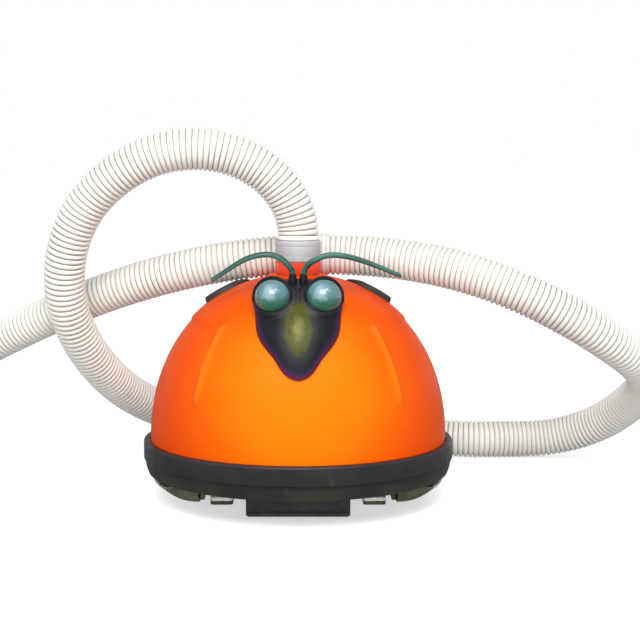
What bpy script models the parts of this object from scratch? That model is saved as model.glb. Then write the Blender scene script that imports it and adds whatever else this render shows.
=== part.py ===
"""A suction-side pool cleaner with its hose.

Metres, +Z up. The origin is on the pool floor under the middle of the cleaner, the front faces -Y
and +X is to the right. An oval shell stands on two rocking feet. Water is drawn up through a throat
in the base pan, turns a paddle turbine and leaves through a swivelling neck into the hose. The
turbine's eccentrics rock the feet, and a small gear train turns the neck.
"""

import math

import bmesh
import bpy
import numpy as np
from mathutils import Matrix, Vector

GAP = 0.0003
MODULE = 0.00125

# Shell and bumper: half lengths across X and Y, and heights above the floor.
SHELL_X = 0.171
SHELL_Y = 0.151
SHELL_FOOT = 0.060
SHELL_BASE = 0.070
SHELL_RISE = 0.190
SHELL_POWER = 2.15
SHELL_WALL = 0.003
NECK_HOLE = 0.0274
BOSS_RADIUS = 0.033
BOSS_TOP = 0.2620
BOSS_UNDERSIDE = 0.2545
PANEL_LIFT = 0.0022
RIDGE_LIFT = 0.0022
BUMPER_X = 0.180
BUMPER_Y = 0.160
BUMPER_BOTTOM = 0.034
BUMPER_TOP = 0.072

# Base pan.
PAN_BOTTOM = 0.036
PAN_PLATE = 0.004
PAN_RIM = 0.0597
THROAT_X = 0.037
THROAT_BACK = 0.010
THROAT_FRONT = -0.034
POST_X = 0.100
POST_Y = 0.085

# Turbine, its shaft and the gear train.
SHAFT_Z = 0.085
SHAFT_RADIUS = 0.0040
SHAFT_END = 0.096
ROTOR_RADIUS = 0.0334
ROTOR_HALF = 0.036
VANES = 8
HOUSING_X = 0.045
HOUSING_Y = 0.041
HOUSING_WALL = 0.003
HOUSING_TOP = 0.1253
RISER_BASE = 0.142
RISER_TOP = 0.2055
RISER_RADIUS = 0.022
BUSH_RADIUS = 0.0090
DRIVE_TEETH = 12
RING_TEETH = 48
DRIVE_X = (0.050, 0.057)
STEER_Z = (0.200, 0.207)
BOX_COLUMN_X = (0.0605, 0.078)
BOX_HALF_Y = 0.019
BOX_ARM_Z = (0.146, 0.166)

# Neck and swivel.
SKIRT_RADIUS = 0.0250
SKIRT_BORE = 0.0226
NECK_RADIUS = 0.0264
NECK_BORE = 0.0185
NECK_BOTTOM = 0.198
NECK_TOP = 0.2762
SPIGOT_RADIUS = 0.0210
SPIGOT_TOP = 0.3000
COLLAR_RADIUS = 0.0260
COLLAR_TOP = 0.3005
CUFF_TOP = 0.3060

# Rocking feet.
FOOT_X = 0.0875
FRAME_HALF = 0.003
ECCENTRIC_RADIUS = 0.009
ECCENTRIC_THROW = 0.00375
EYE_HOLE = 0.0172
EYE_RIM = 0.0215
ROCK_Z = 0.030
POD_HALF_X = 0.011
POD_HALF_Y = 0.036
SHOE_HALF_X = 0.013
SHOE_HALF_Y = 0.040
SHOE_TOP = 0.0087
FOOT_PIN = 0.0020

# Flaps front and back, wings left and right.
FLAP_Y = 0.105
FLAP_Z = 0.0295
FLAP_HALF = 0.057
FLAP_PIN = 0.0015
WING_HINGE_X = 0.1085
WING_HINGE_Z = 0.031
WING_HALF_Y = 0.0725
WING_BARREL_HALF = 0.030

# Head: half widths of its outline against the shell's height under it.
HEAD_OUTLINE = (
    (0.2540, 0.0225),
    (0.2515, 0.0340),
    (0.2460, 0.0425),
    (0.2380, 0.0470),
    (0.2245, 0.0463),
    (0.2035, 0.0415),
    (0.1910, 0.0345),
    (0.1785, 0.0237),
    (0.1690, 0.0118),
    (0.1590, 0.0015),
)
EYE_CENTRE = (0.0276, -0.0900, 0.2437)
EYE_RADIUS = 0.0195
ANTENNA_RIGHT = (
    (0.0060, -0.0600, 0.2688),
    (0.0095, -0.0635, 0.2760),
    (0.0190, -0.0685, 0.2830),
    (0.0315, -0.0695, 0.2876),
    (0.0469, -0.0680, 0.2875),
    (0.0680, -0.0642, 0.2824),
    (0.0895, -0.0586, 0.2742),
    (0.1150, -0.0520, 0.2632),
)
ANTENNA_LEFT = (
    (-0.0060, -0.0600, 0.2688),
    (-0.0095, -0.0650, 0.2747),
    (-0.0174, -0.0680, 0.2833),
    (-0.0285, -0.0693, 0.2882),
    (-0.0439, -0.0690, 0.2878),
    (-0.0580, -0.0668, 0.2832),
    (-0.0750, -0.0630, 0.2730),
    (-0.0965, -0.0530, 0.2585),
)

# Hose: ten sections of one metre, joined by cuffs.
HOSE_RADIUS = 0.024
SECTION_LENGTH = 1.0
CUFF_LENGTH = 0.052
CUFF_RADIUS = 0.0252
HOSE_START = 0.3063
COLLAR_TUCK = 0.040
COIL_CENTRE = (-0.6694, -0.0555)
COIL_RADII = (0.192, 0.240, 0.288)
COIL_LAYERS = 2
LANDING_ANGLE = math.radians(70.5)
TAIL_END = 0.250
FITTING_LENGTH = 0.080
FLOOR_LINE = HOSE_RADIUS
ROUTE = (
    (0.000, 0.000, HOSE_START),
    (-0.012, -0.003, 0.349),
    (-0.053, -0.009, 0.388),
    (-0.102, -0.013, 0.403),
    (-0.155, -0.012, 0.399),
    (-0.205, -0.006, 0.375),
    (-0.245, 0.004, 0.336),
    (-0.268, 0.015, 0.285),
    (-0.273, 0.034, 0.228),
    (-0.262, 0.067, 0.176),
    (-0.240, 0.116, 0.127),
    (-0.205, 0.179, 0.082),
    (-0.150, 0.236, 0.048),
    (-0.080, 0.273, 0.029),
    (0.000, 0.281, FLOOR_LINE),
    (0.085, 0.258, FLOOR_LINE),
    (0.165, 0.222, FLOOR_LINE),
    (0.240, 0.205, FLOOR_LINE),
    (0.286, 0.206, FLOOR_LINE),
    (0.329, 0.203, 0.027),
    (0.367, 0.191, 0.038),
    (0.399, 0.169, 0.058),
    (0.421, 0.136, 0.086),
    (0.429, 0.094, 0.115),
    (0.417, 0.054, 0.139),
    (0.391, 0.022, 0.162),
    (0.355, 0.001, 0.187),
    (0.310, -0.009, 0.214),
    (0.264, -0.008, 0.237),
    (0.173, 0.019, 0.267),
    (0.067, 0.053, 0.279),
    (-0.047, 0.059, 0.276),
    (-0.154, 0.072, 0.256),
    (-0.256, 0.098, 0.222),
    (-0.353, 0.136, 0.178),
    (-0.460, 0.176, 0.120),
)


# ---------------------------------------------------------------- helpers


def clear_scene():
    for item in list(bpy.data.objects):
        bpy.data.objects.remove(item, do_unlink=True)


def material(name, colour, roughness, metallic=0.0):
    made = bpy.data.materials.new(name)
    made.use_nodes = True
    shader = made.node_tree.nodes["Principled BSDF"]
    shader.inputs["Base Color"].default_value = (*colour, 1.0)
    shader.inputs["Roughness"].default_value = roughness
    shader.inputs["Metallic"].default_value = metallic
    made.diffuse_color = (*colour, 1.0)
    return made


def solid(name, vertices, faces, finish):
    """A closed mesh object with its faces turned outwards."""
    mesh = bpy.data.meshes.new(name)
    mesh.from_pydata([tuple(map(float, vertex)) for vertex in vertices], [], faces)
    shape = bmesh.new()
    shape.from_mesh(mesh)
    bmesh.ops.recalc_face_normals(shape, faces=shape.faces)
    shape.to_mesh(mesh)
    shape.free()
    mesh.shade_smooth()
    mesh.set_sharp_from_angle(angle=math.radians(35))
    mesh.materials.append(finish)
    made = bpy.data.objects.new(name, mesh)
    bpy.context.scene.collection.objects.link(made)
    return made


def skin(name, rings, finish, closed=False):
    """Joins rings of equal point counts; the ends are capped, or joined to each other when closed."""
    count = len(rings[0])
    vertices = [point for ring in rings for point in ring]
    steps = len(rings) if closed else len(rings) - 1
    faces = []
    for row in range(steps):
        here = row * count
        after = (row + 1) % len(rings) * count
        for k in range(count):
            m = (k + 1) % count
            faces.append((here + k, here + m, after + m, after + k))
    if not closed:
        faces.append(tuple(range(count)))
        faces.append(tuple(range(steps * count, steps * count + count)))
    return solid(name, vertices, faces, finish)


def along(axis, a, b, c):
    """The point at c along an axis, with a and b on the two other axes in X, Y, Z order."""
    return {"X": (c, a, b), "Y": (a, c, b), "Z": (a, b, c)}[axis]


def prism(name, outline, axis, low, high, finish):
    rings = [[along(axis, a, b, c) for a, b in outline] for c in (low, high)]
    return skin(name, rings, finish)


def circle(radius, sides, centre=(0.0, 0.0)):
    turn = 2 * math.pi / sides
    return [
        (centre[0] + radius * math.cos(k * turn), centre[1] + radius * math.sin(k * turn))
        for k in range(sides)
    ]


def rod(name, axis, centre, radius, low, high, finish, sides=20):
    return prism(name, circle(radius, sides, centre), axis, low, high, finish)


def block(name, x, y, z, finish):
    outline = ((x[0], y[0]), (x[1], y[0]), (x[1], y[1]), (x[0], y[1]))
    return prism(name, outline, "Z", z[0], z[1], finish)


def turned(name, profile, finish, sides=30, centre=(0.0, 0.0)):
    """A ring with the closed profile of (radius, height) points, round a vertical line through centre."""
    rings = [[(*point, height) for point in circle(radius, sides, centre)] for radius, height in profile]
    return skin(name, rings, finish, closed=True)


def combine(target, tool, operation):
    change = target.modifiers.new(tool.name, "BOOLEAN")
    change.object = tool
    change.operation = operation
    change.solver = "EXACT"
    tool.hide_render = True
    tool.display_type = "WIRE"


def cut(target, *tools):
    for tool in tools:
        combine(target, tool, "DIFFERENCE")


def weld(target, *tools):
    for tool in tools:
        combine(target, tool, "UNION")


def pivot(name, place, *pieces):
    """An empty on a joint's axis, with the pieces that turn on it as its children."""
    axis = bpy.data.objects.new(name, None)
    axis.location = place
    axis.empty_display_size = 0.02
    bpy.context.scene.collection.objects.link(axis)
    for piece in pieces:
        piece.data.transform(Matrix.Translation(-Vector(place)))
        piece.parent = axis
    return axis


def superellipse(half_x, half_y, power, height, sides=24):
    """A ring that is an ellipse at power 2 and a rounded rectangle at high powers."""
    ring = []
    for k in range(sides):
        angle = 2 * math.pi * (k + 0.5) / sides
        c, s = math.cos(angle), math.sin(angle)
        reach = (abs(c) ** power + abs(s) ** power) ** (-1 / power)
        ring.append((half_x * reach * c, half_y * reach * s, height))
    return ring


def smoothstep(low, high, value):
    t = min(max((value - low) / (high - low), 0.0), 1.0)
    return t * t * (3 - 2 * t)


# ---------------------------------------------------------------- shell surface


def shell_axes(rho):
    """Half lengths of the shell's oval; it turns round towards the crown, where the neck sits."""
    mean = (SHELL_X + SHELL_Y) / 2
    oval = smoothstep(0.2, 0.6, rho)
    return mean + (SHELL_X - mean) * oval, mean + (SHELL_Y - mean) * oval


def shell_point(azimuth, rho, lift=0.0):
    """A point of the shell, from rho 1 at its edge to 0 at its crown, lifted along the normal."""
    a, b = shell_axes(rho)
    rise = max(1 - rho**SHELL_POWER, 0.0) ** (1 / SHELL_POWER)
    c, s = math.cos(azimuth), math.sin(azimuth)
    power = SHELL_POWER - 1
    normal = Vector((c * rho**power / a, s * rho**power / b, rise**power / SHELL_RISE)).normalized()
    return Vector((a * rho * c, b * rho * s, SHELL_BASE + SHELL_RISE * rise)) + normal * lift


def rho_at(height):
    return (1 - ((height - SHELL_BASE) / SHELL_RISE) ** SHELL_POWER) ** (1 / SHELL_POWER)


def from_front(azimuth):
    """The angle away from straight ahead or straight back, 0 to 90 degrees."""
    return math.degrees(math.acos(min(abs(math.sin(azimuth)), 1.0)))


def relief(azimuth, rho):
    """Height of the raised crown panel and of the four ridges that run down from its corners."""
    height = shell_point(azimuth, rho).z
    turn = from_front(azimuth)
    edge = 0.2095 + 0.026 * (1 - smoothstep(41.0, 58.0, turn))
    panel = PANEL_LIFT * smoothstep(edge - 0.002, edge + 0.002, height)
    aside = math.radians(turn - 42.0) * rho * SHELL_X / 0.006
    fade = smoothstep(0.120, 0.140, height) * (1 - smoothstep(0.208, 0.216, height))
    return panel + RIDGE_LIFT * math.exp(-aside * aside) * fade


# ---------------------------------------------------------------- shell, bumper and pan


def shell_ring(rho, sides, raised=True, lift=0.0):
    ring = []
    for k in range(sides):
        azimuth = 2 * math.pi * k / sides
        extra = relief(azimuth, rho) if raised else 0.0
        ring.append(shell_point(azimuth, rho, lift + extra))
    return ring


def flat_ring(half_x, half_y, height, sides):
    return superellipse(half_x, half_y, 2.0, height, sides)


def make_top_shell(orange):
    sides = 52
    turn = [2 * math.pi * k / sides for k in range(sides)]
    straight = [(SHELL_X * math.cos(a), SHELL_Y * math.sin(a), SHELL_FOOT) for a in turn]
    within = [
        ((SHELL_X - SHELL_WALL) * math.cos(a), (SHELL_Y - SHELL_WALL) * math.sin(a), SHELL_FOOT)
        for a in turn
    ]
    climbs = np.radians((0, 11, 21, 31, 40, 48, 55, 62, 68, 74))
    outer = [shell_ring(math.cos(c), sides) for c in climbs]
    inner = [shell_ring(math.cos(c), sides, False, -SHELL_WALL) for c in climbs[::2]]
    boss = [
        [(radius * math.cos(a), radius * math.sin(a), height) for a in turn]
        for radius, height in (
            (BOSS_RADIUS + 0.001, 0.2570),
            (BOSS_RADIUS, BOSS_TOP),
            (NECK_HOLE, BOSS_TOP),
            (NECK_HOLE, BOSS_UNDERSIDE),
        )
    ]
    shell = skin("top_shell", [straight] + outer + boss + inner[::-1] + [within], orange, closed=True)
    for x in (-POST_X, POST_X):
        for y in (-POST_Y, POST_Y):
            name = f"post_{'right' if x > 0 else 'left'}_{'rear' if y > 0 else 'front'}"
            weld(shell, rod(name, "Z", (x, y), 0.005, PAN_BOTTOM + PAN_PLATE + GAP, 0.183, orange, 12))
            hole = rod(name + "_bore", "Z", (x, y), 0.0016 + GAP, 0.030, 0.0585, orange, 12)
            cut(shell, hole)
    return shell


def make_bumper(rubber):
    profile = (
        (0.0085, BUMPER_TOP - 0.0025),
        (0.0062, BUMPER_TOP),
        (0.0005, BUMPER_TOP),
        (0.0005, BUMPER_BOTTOM),
        (0.0025, BUMPER_BOTTOM),
        (0.0052, 0.0420),
        (0.0066, 0.0492),
        (0.0085, 0.0506),
    )
    rings = [flat_ring(SHELL_X + out, SHELL_Y + out, height, 48) for out, height in profile]
    return skin("bumper_ring", rings, rubber, closed=True)


def hinge_lug(name, x, y, drop, plastic):
    """A lug under the pan, from inside its plate down to the given height."""
    return block(name, x, y, (drop, PAN_BOTTOM + 0.002), plastic)


def make_base_pan(plastic):
    wall = 0.0035
    rings = [
        flat_ring(0.150, 0.130, PAN_BOTTOM, 40),
        flat_ring(0.1640, 0.1440, 0.0475, 40),
        flat_ring(0.1705, 0.1505, PAN_RIM, 40),
        flat_ring(0.1705 - wall, 0.1505 - wall, PAN_RIM, 40),
        flat_ring(0.1605, 0.1405, 0.0497, 40),
        flat_ring(0.1480, 0.1280, PAN_BOTTOM + PAN_PLATE, 40),
    ]
    pan = skin("base_pan", rings, plastic)
    low = ROCK_Z - 0.006
    for side, sign in (("left", -1), ("right", 1)):
        for tag, inner, outer in (("inner", 0.0715, 0.0755), ("outer", 0.0995, 0.1035)):
            x = sorted((sign * inner, sign * outer))
            weld(pan, hinge_lug(f"rocker_lug_{side}_{tag}", x, (-0.006, 0.006), low, plastic))
        x = sorted((sign * 0.1040, sign * 0.1130))
        for tag, y in (("front", (-0.0385, -0.0335)), ("rear", (0.0335, 0.0385))):
            weld(pan, hinge_lug(f"wing_lug_{side}_{tag}", x, y, WING_HINGE_Z - 0.0045, plastic))
        x = sorted((sign * 0.0585, sign * 0.0625))
        for tag, way in (("front", -1), ("rear", 1)):
            y = (way * FLAP_Y - 0.005, way * FLAP_Y + 0.005)
            weld(pan, hinge_lug(f"flap_lug_{side}_{tag}", x, y, FLAP_Z - 0.0045, plastic))
    cut(pan, block("throat", (-THROAT_X, THROAT_X), (THROAT_FRONT, THROAT_BACK), (0.030, 0.045), plastic))
    for side, sign in (("left", -1), ("right", 1)):
        x = sorted((sign * 0.0815, sign * 0.0935))
        cut(pan, block(f"frame_slot_{side}", x, (-0.029, 0.029), (0.0345, 0.045), plastic))
        reach = sorted((sign * 0.070, sign * 0.105))
        hole = rod(f"foot_pin_hole_{side}", "X", (0.0, ROCK_Z), FOOT_PIN + GAP, *reach, plastic, 16)
        centre = (sign * WING_HINGE_X, WING_HINGE_Z)
        bore = rod(f"wing_pin_hole_{side}", "Y", centre, FOOT_PIN + GAP, -0.040, 0.040, plastic, 16)
        cut(pan, hole, bore)
        for tag, way in (("front", -1), ("rear", 1)):
            edge = sorted((sign * 0.058, sign * 0.063))
            centre = (way * FLAP_Y, FLAP_Z)
            cut(pan, rod(f"flap_pin_hole_{side}_{tag}", "X", centre, FLAP_PIN + GAP, *edge, plastic, 16))
            place = (sign * POST_X, way * POST_Y)
            cut(pan, rod(f"screw_hole_{side}_{tag}", "Z", place, 0.0016 + GAP, 0.030, 0.045, plastic, 12))
    return pan


def make_screws(steel):
    for number, (x, y) in enumerate(((-1, -1), (1, -1), (-1, 1), (1, 1)), start=1):
        place = (x * POST_X, y * POST_Y)
        top = PAN_BOTTOM - GAP
        profile = ((0.0040, 0.0330), (0.0040, top), (0.0016, top), (0.0016, 0.0570))
        rings = [[(*point, z) for point in circle(radius, 10, place)] for radius, z in profile]
        screw = skin(f"shell_screw_{number}", rings, steel)
        slot = block(
            f"screw_slot_{number}",
            (place[0] - 0.003, place[0] + 0.003),
            (place[1] - 0.0006, place[1] + 0.0006),
            (0.032, 0.0341),
            steel,
        )
        cut(screw, slot)


def make_floats(foam):
    for name, y in (("front_float", (-0.105, -0.052)), ("rear_float", (0.052, 0.105))):
        low = PAN_BOTTOM + PAN_PLATE + 0.0005
        middle = (y[0] + y[1]) / 2
        rings = []
        for inset, height in ((0.003, low), (0.0, low + 0.003), (0.0, 0.112), (0.003, 0.115)):
            ring = superellipse(0.045 - inset, (y[1] - y[0]) / 2 - inset, 6.0, height, 24)
            rings.append([(px, py + middle, pz) for px, py, pz in ring])
        skin(name, rings, foam)


# ---------------------------------------------------------------- turbine and gears


def gear_outline(teeth, centre, phase=0.0):
    """Straight-sided teeth with generous play, seen along the gear's axis."""
    pitch_radius = MODULE * teeth / 2
    root = pitch_radius - 1.25 * MODULE
    tip = pitch_radius + MODULE
    thick = 0.42 * math.pi * MODULE
    corners = ((-0.72, root), (-0.26, tip), (0.26, tip), (0.72, root))
    outline = []
    for k in range(teeth):
        middle = phase + 2 * math.pi * k / teeth
        for share, radius in corners:
            angle = middle + share * thick / pitch_radius
            outline.append((centre[0] + radius * math.cos(angle), centre[1] + radius * math.sin(angle)))
    return outline


def make_housing(plastic):
    low = PAN_BOTTOM + PAN_PLATE + GAP
    x_in, y_in = HOUSING_X - HOUSING_WALL, HOUSING_Y - HOUSING_WALL
    rings = [
        superellipse(HOUSING_X, HOUSING_Y, 10.0, low),
        superellipse(HOUSING_X, HOUSING_Y, 10.0, HOUSING_TOP),
        superellipse(0.0235, 0.0235, 2.0, RISER_BASE),
        superellipse(RISER_RADIUS, RISER_RADIUS, 2.0, RISER_TOP),
        superellipse(0.0195, 0.0195, 2.0, RISER_TOP),
        superellipse(0.0205, 0.0205, 2.0, RISER_BASE),
        superellipse(x_in, y_in, 10.0, HOUSING_TOP),
        superellipse(x_in, y_in, 10.0, low),
    ]
    housing = skin("turbine_housing", rings, plastic, closed=True)
    cut(housing, rod("bush_bore", "X", (0.0, SHAFT_Z), BUSH_RADIUS + GAP, -0.050, 0.050, plastic))
    return housing


def make_turbine(plastic, steel, white):
    low, high = -SHAFT_END, SHAFT_END
    shaft = rod("turbine_shaft", "X", (0.0, SHAFT_Z), SHAFT_RADIUS, low, high, steel, 20)
    outline = []
    hub, half_vane = 0.008, 0.0011
    for k in range(VANES):
        angle = 2 * math.pi * k / VANES
        across = Vector((-math.sin(angle), math.cos(angle))) * half_vane
        out = Vector((math.cos(angle), math.sin(angle)))
        tip = out * ROTOR_RADIUS
        swept = Vector((-math.sin(angle), math.cos(angle))) * 0.006
        for point in (out * hub - across, tip - across + swept, tip + across + swept, out * hub + across):
            outline.append((point.x, SHAFT_Z + point.y))
    rotor = prism("turbine_rotor", outline, "X", -ROTOR_HALF, ROTOR_HALF, plastic)
    bore = rod("rotor_bore", "X", (0.0, SHAFT_Z), SHAFT_RADIUS + GAP, -0.040, 0.040, plastic, 20)
    cut(rotor, bore)
    through = rod("train_bore", "X", (0.0, SHAFT_Z), SHAFT_RADIUS + GAP, -0.099, 0.099, plastic, 20)
    pinion = prism("drive_pinion", gear_outline(DRIVE_TEETH, (0.0, SHAFT_Z)), "X", *DRIVE_X, white)
    cut(pinion, through)
    pieces = [shaft, rotor, pinion]
    for side, sign in (("left", -1), ("right", 1)):
        reach = sorted((sign * 0.0848, sign * 0.0902))
        centre = (0.0, SHAFT_Z - sign * ECCENTRIC_THROW)
        bearing = rod(f"eccentric_{side}", "X", centre, ECCENTRIC_RADIUS, *reach, white)
        cut(bearing, through)
        pieces.append(bearing)
        reach = sorted((sign * 0.0423, sign * 0.0478))
        bush = rod(f"shaft_bush_{side}", "X", (0.0, SHAFT_Z), BUSH_RADIUS, *reach, white)
        cut(bush, through)
    pivot("turbine_axis", (0.0, 0.0, SHAFT_Z), *pieces)


def make_gearbox(plastic):
    low = PAN_BOTTOM + PAN_PLATE + GAP
    near, far = BOX_COLUMN_X
    arm_low, arm_high = BOX_ARM_Z
    inner = 0.029
    column = ((near, low), (far, low), (far, arm_high))
    outline = (*column, (inner, arm_high), (inner, arm_low), (near, arm_low))
    case = prism("steering_gearbox", outline, "Y", -BOX_HALF_Y, BOX_HALF_Y, plastic)
    cut(
        case,
        rod("shaft_way", "X", (0.0, SHAFT_Z), 0.006, 0.055, 0.085, plastic),
    )


# ---------------------------------------------------------------- neck, swivel and cuff


def make_neck(orange, grey, cream, white):
    neck = turned(
        "turret_neck",
        (
            (SKIRT_BORE, NECK_BOTTOM),
            (SKIRT_RADIUS, NECK_BOTTOM),
            (SKIRT_RADIUS, BOSS_TOP - GAP),
            (SKIRT_RADIUS, BOSS_TOP + 0.0004),
            (NECK_RADIUS, BOSS_TOP + 0.0004),
            (NECK_RADIUS, NECK_TOP - 0.001),
            (NECK_RADIUS - 0.001, NECK_TOP),
            (SPIGOT_RADIUS, NECK_TOP),
            (SPIGOT_RADIUS, SPIGOT_TOP),
            (NECK_BORE, SPIGOT_TOP),
            (NECK_BORE, 0.2100),
            (SKIRT_BORE, 0.2065),
        ),
        orange,
    )
    teeth = gear_outline(RING_TEETH, (0.0, 0.0), math.pi / RING_TEETH)
    wheel = prism("turret_gear", teeth, "Z", *STEER_Z, white)
    cut(wheel, rod("gear_bore", "Z", (0.0, 0.0), SKIRT_RADIUS + 2 * GAP, 0.19, 0.22, white, 30))
    pivot("turret_axis", (0.0, 0.0, NECK_BOTTOM), neck, wheel)
    turned(
        "turret_bush",
        (
            (SKIRT_RADIUS + GAP, BOSS_UNDERSIDE),
            (NECK_HOLE - GAP, BOSS_UNDERSIDE),
            (NECK_HOLE - GAP, BOSS_TOP - 0.0004),
            (SKIRT_RADIUS + GAP, BOSS_TOP - 0.0004),
        ),
        white,
    )
    collar = turned(
        "swivel_collar",
        (
            (SPIGOT_RADIUS + 0.0004, NECK_TOP + GAP),
            (COLLAR_RADIUS - 0.0012, NECK_TOP + GAP),
            (COLLAR_RADIUS, NECK_TOP + 0.0015),
            (COLLAR_RADIUS, COLLAR_TOP - 0.0020),
            (COLLAR_RADIUS - 0.0020, COLLAR_TOP),
            (SPIGOT_RADIUS + 0.0004, COLLAR_TOP),
        ),
        grey,
    )
    turned(
        "hose_cuff",
        (
            (0.0195, COLLAR_TOP + GAP),
            (0.0240, COLLAR_TOP + GAP),
            (0.0240, CUFF_TOP),
            (0.0195, CUFF_TOP),
        ),
        cream,
    )
    pivot("swivel_axis", (0.0, 0.0, NECK_TOP), collar)


# ---------------------------------------------------------------- rocking feet, flaps, wings


def frame_outline():
    """The rocker frame seen from the side: an eye at the top and two feet at the bottom."""
    arc = []
    for k in range(13):
        angle = math.radians(-25 + 230 * k / 12)
        arc.append((EYE_RIM * math.cos(angle), SHAFT_Z + EYE_RIM * math.sin(angle)))
    return arc + [(-0.027, 0.034), (-0.027, 0.0148), (0.027, 0.0148), (0.027, 0.034)]


def make_foot(side, sign, plastic, pale, rubber, steel):
    reach = sorted((sign * (FOOT_X - FRAME_HALF), sign * (FOOT_X + FRAME_HALF)))
    frame = prism(f"rocker_frame_{side}", frame_outline(), "X", *reach, plastic)
    wide = sorted((sign * 0.080, sign * 0.095))
    window = ((-0.016, 0.040), (0.016, 0.040), (0.011, 0.0600), (-0.011, 0.0600))
    cut(
        frame,
        rod(f"eye_hole_{side}", "X", (0.0, SHAFT_Z), EYE_HOLE, *wide, plastic, 32),
        prism(f"window_{side}", window, "X", *wide, plastic),
    )
    pod_x = sorted((sign * (FOOT_X - POD_HALF_X), sign * (FOOT_X + POD_HALF_X)))
    low = SHOE_TOP + GAP
    outline = (
        (-POD_HALF_Y, low),
        (POD_HALF_Y, low),
        (POD_HALF_Y, 0.0255),
        (0.021, 0.0330),
        (-0.021, 0.0330),
        (-POD_HALF_Y, 0.0255),
    )
    pod = prism(f"pod_{side}", outline, "X", *pod_x, pale)
    groove = sorted((sign * (FOOT_X - FRAME_HALF - GAP), sign * (FOOT_X + FRAME_HALF + GAP)))
    cut(pod, block(f"groove_{side}", groove, (-0.0273, 0.0273), (0.0145, 0.040), pale))
    long = sorted((sign * 0.070, sign * 0.105))
    hole = rod(f"pivot_hole_{side}", "X", (0.0, ROCK_Z), FOOT_PIN + GAP, *long, pale, 16)
    cut(pod, hole)
    cut(frame, hole)
    shoe_x = sorted((sign * (FOOT_X - SHOE_HALF_X), sign * (FOOT_X + SHOE_HALF_X)))
    shoe = block(f"shoe_{side}", shoe_x, (-SHOE_HALF_Y, SHOE_HALF_Y), (0.0, SHOE_TOP), rubber)
    for number, y in enumerate((-0.032, -0.024, -0.016, 0.016, 0.024, 0.032)):
        tread = block(f"tread_{side}_{number}", long, (y - 0.0012, y + 0.0012), (-0.001, 0.0025), rubber)
        cut(shoe, tread)
    pivot(f"foot_axis_{side}", (sign * FOOT_X, 0.0, ROCK_Z), frame, pod, shoe)
    pin_x = sorted((sign * 0.0715, sign * 0.1035))
    rod(f"foot_pin_{side}", "X", (0.0, ROCK_Z), FOOT_PIN, *pin_x, steel, 16)


def make_flap(side, way, rubber, steel):
    y = way * FLAP_Y
    flap = rod(f"{side}_flap", "X", (y, FLAP_Z), 0.0040, -FLAP_HALF, FLAP_HALF, rubber, 16)
    across = (-FLAP_HALF, FLAP_HALF)
    plate = block(f"{side}_plate", across, (y - 0.0015, y + 0.0015), (0.005, FLAP_Z), rubber)
    lip_y = sorted((y + way * 0.0010, y + way * 0.0035))
    lip = block(f"{side}_lip", (-FLAP_HALF + 0.002, FLAP_HALF - 0.002), lip_y, (0.0052, 0.0100), rubber)
    weld(flap, plate, lip)
    cut(flap, rod(f"{side}_flap_bore", "X", (y, FLAP_Z), FLAP_PIN + GAP, -0.060, 0.060, rubber, 16))
    pivot(f"{side}_flap_axis", (0.0, y, FLAP_Z), flap)
    rod(f"{side}_flap_pin", "X", (y, FLAP_Z), FLAP_PIN, -0.0625, 0.0625, steel, 16)


def wing_grid(sign, lift, steps_x=6, steps_y=10):
    """A shallow scoop whose outer edge follows the bumper."""
    inner = 0.1120
    points = []
    for i in range(steps_x + 1):
        a = i / steps_x
        row = []
        for j in range(steps_y + 1):
            b = -1 + 2 * j / steps_y
            y = b * WING_HALF_Y
            outer = BUMPER_X * math.sqrt(1 - (y / BUMPER_Y) ** 2) - 0.0120
            x = inner + a * (outer - inner)
            z = 0.0030 + 0.0230 * min(a**2.4 + abs(b) ** 5.0, 1.0)
            row.append((sign * x, y, z + lift))
        points.append(row)
    return points


def plate_between(name, low, high, finish):
    """A closed sheet between two grids of points."""
    rows, columns = len(low), len(low[0])
    vertices = [p for row in low for p in row] + [p for row in high for p in row]
    shift = rows * columns
    faces = []
    for i in range(rows - 1):
        for j in range(columns - 1):
            quad = (i * columns + j, (i + 1) * columns + j, (i + 1) * columns + j + 1, i * columns + j + 1)
            faces.append(quad)
            faces.append(tuple(shift + k for k in quad))
    edge = [j for j in range(columns)]
    edge += [i * columns + columns - 1 for i in range(1, rows)]
    edge += [(rows - 1) * columns + j for j in range(columns - 2, -1, -1)]
    edge += [i * columns for i in range(rows - 2, 0, -1)]
    for here, after in zip(edge, edge[1:] + edge[:1]):
        faces.append((here, after, shift + after, shift + here))
    return solid(name, vertices, faces, finish)


def make_wing(side, sign, plastic, steel):
    wing = plate_between(f"wing_{side}", wing_grid(sign, 0.0), wing_grid(sign, 0.0035), plastic)
    web_x = sorted((sign * 0.1075, sign * 0.1130))
    half = WING_BARREL_HALF
    web = block(f"wing_web_{side}", web_x, (-half, half), (0.0032, WING_HINGE_Z), plastic)
    centre = (sign * WING_HINGE_X, WING_HINGE_Z)
    barrel = rod(f"wing_barrel_{side}", "Y", centre, 0.0042, -half, half, plastic, 16)
    weld(wing, web, barrel)
    cut(wing, rod(f"wing_bore_{side}", "Y", centre, FOOT_PIN + GAP, -0.035, 0.035, plastic, 16))
    pivot(f"wing_axis_{side}", (sign * WING_HINGE_X, 0.0, WING_HINGE_Z), wing)
    rod(f"wing_pin_{side}", "Y", centre, FOOT_PIN, -0.0385, 0.0385, steel, 16)


# ---------------------------------------------------------------- head, eyes, antennas, pads


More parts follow.
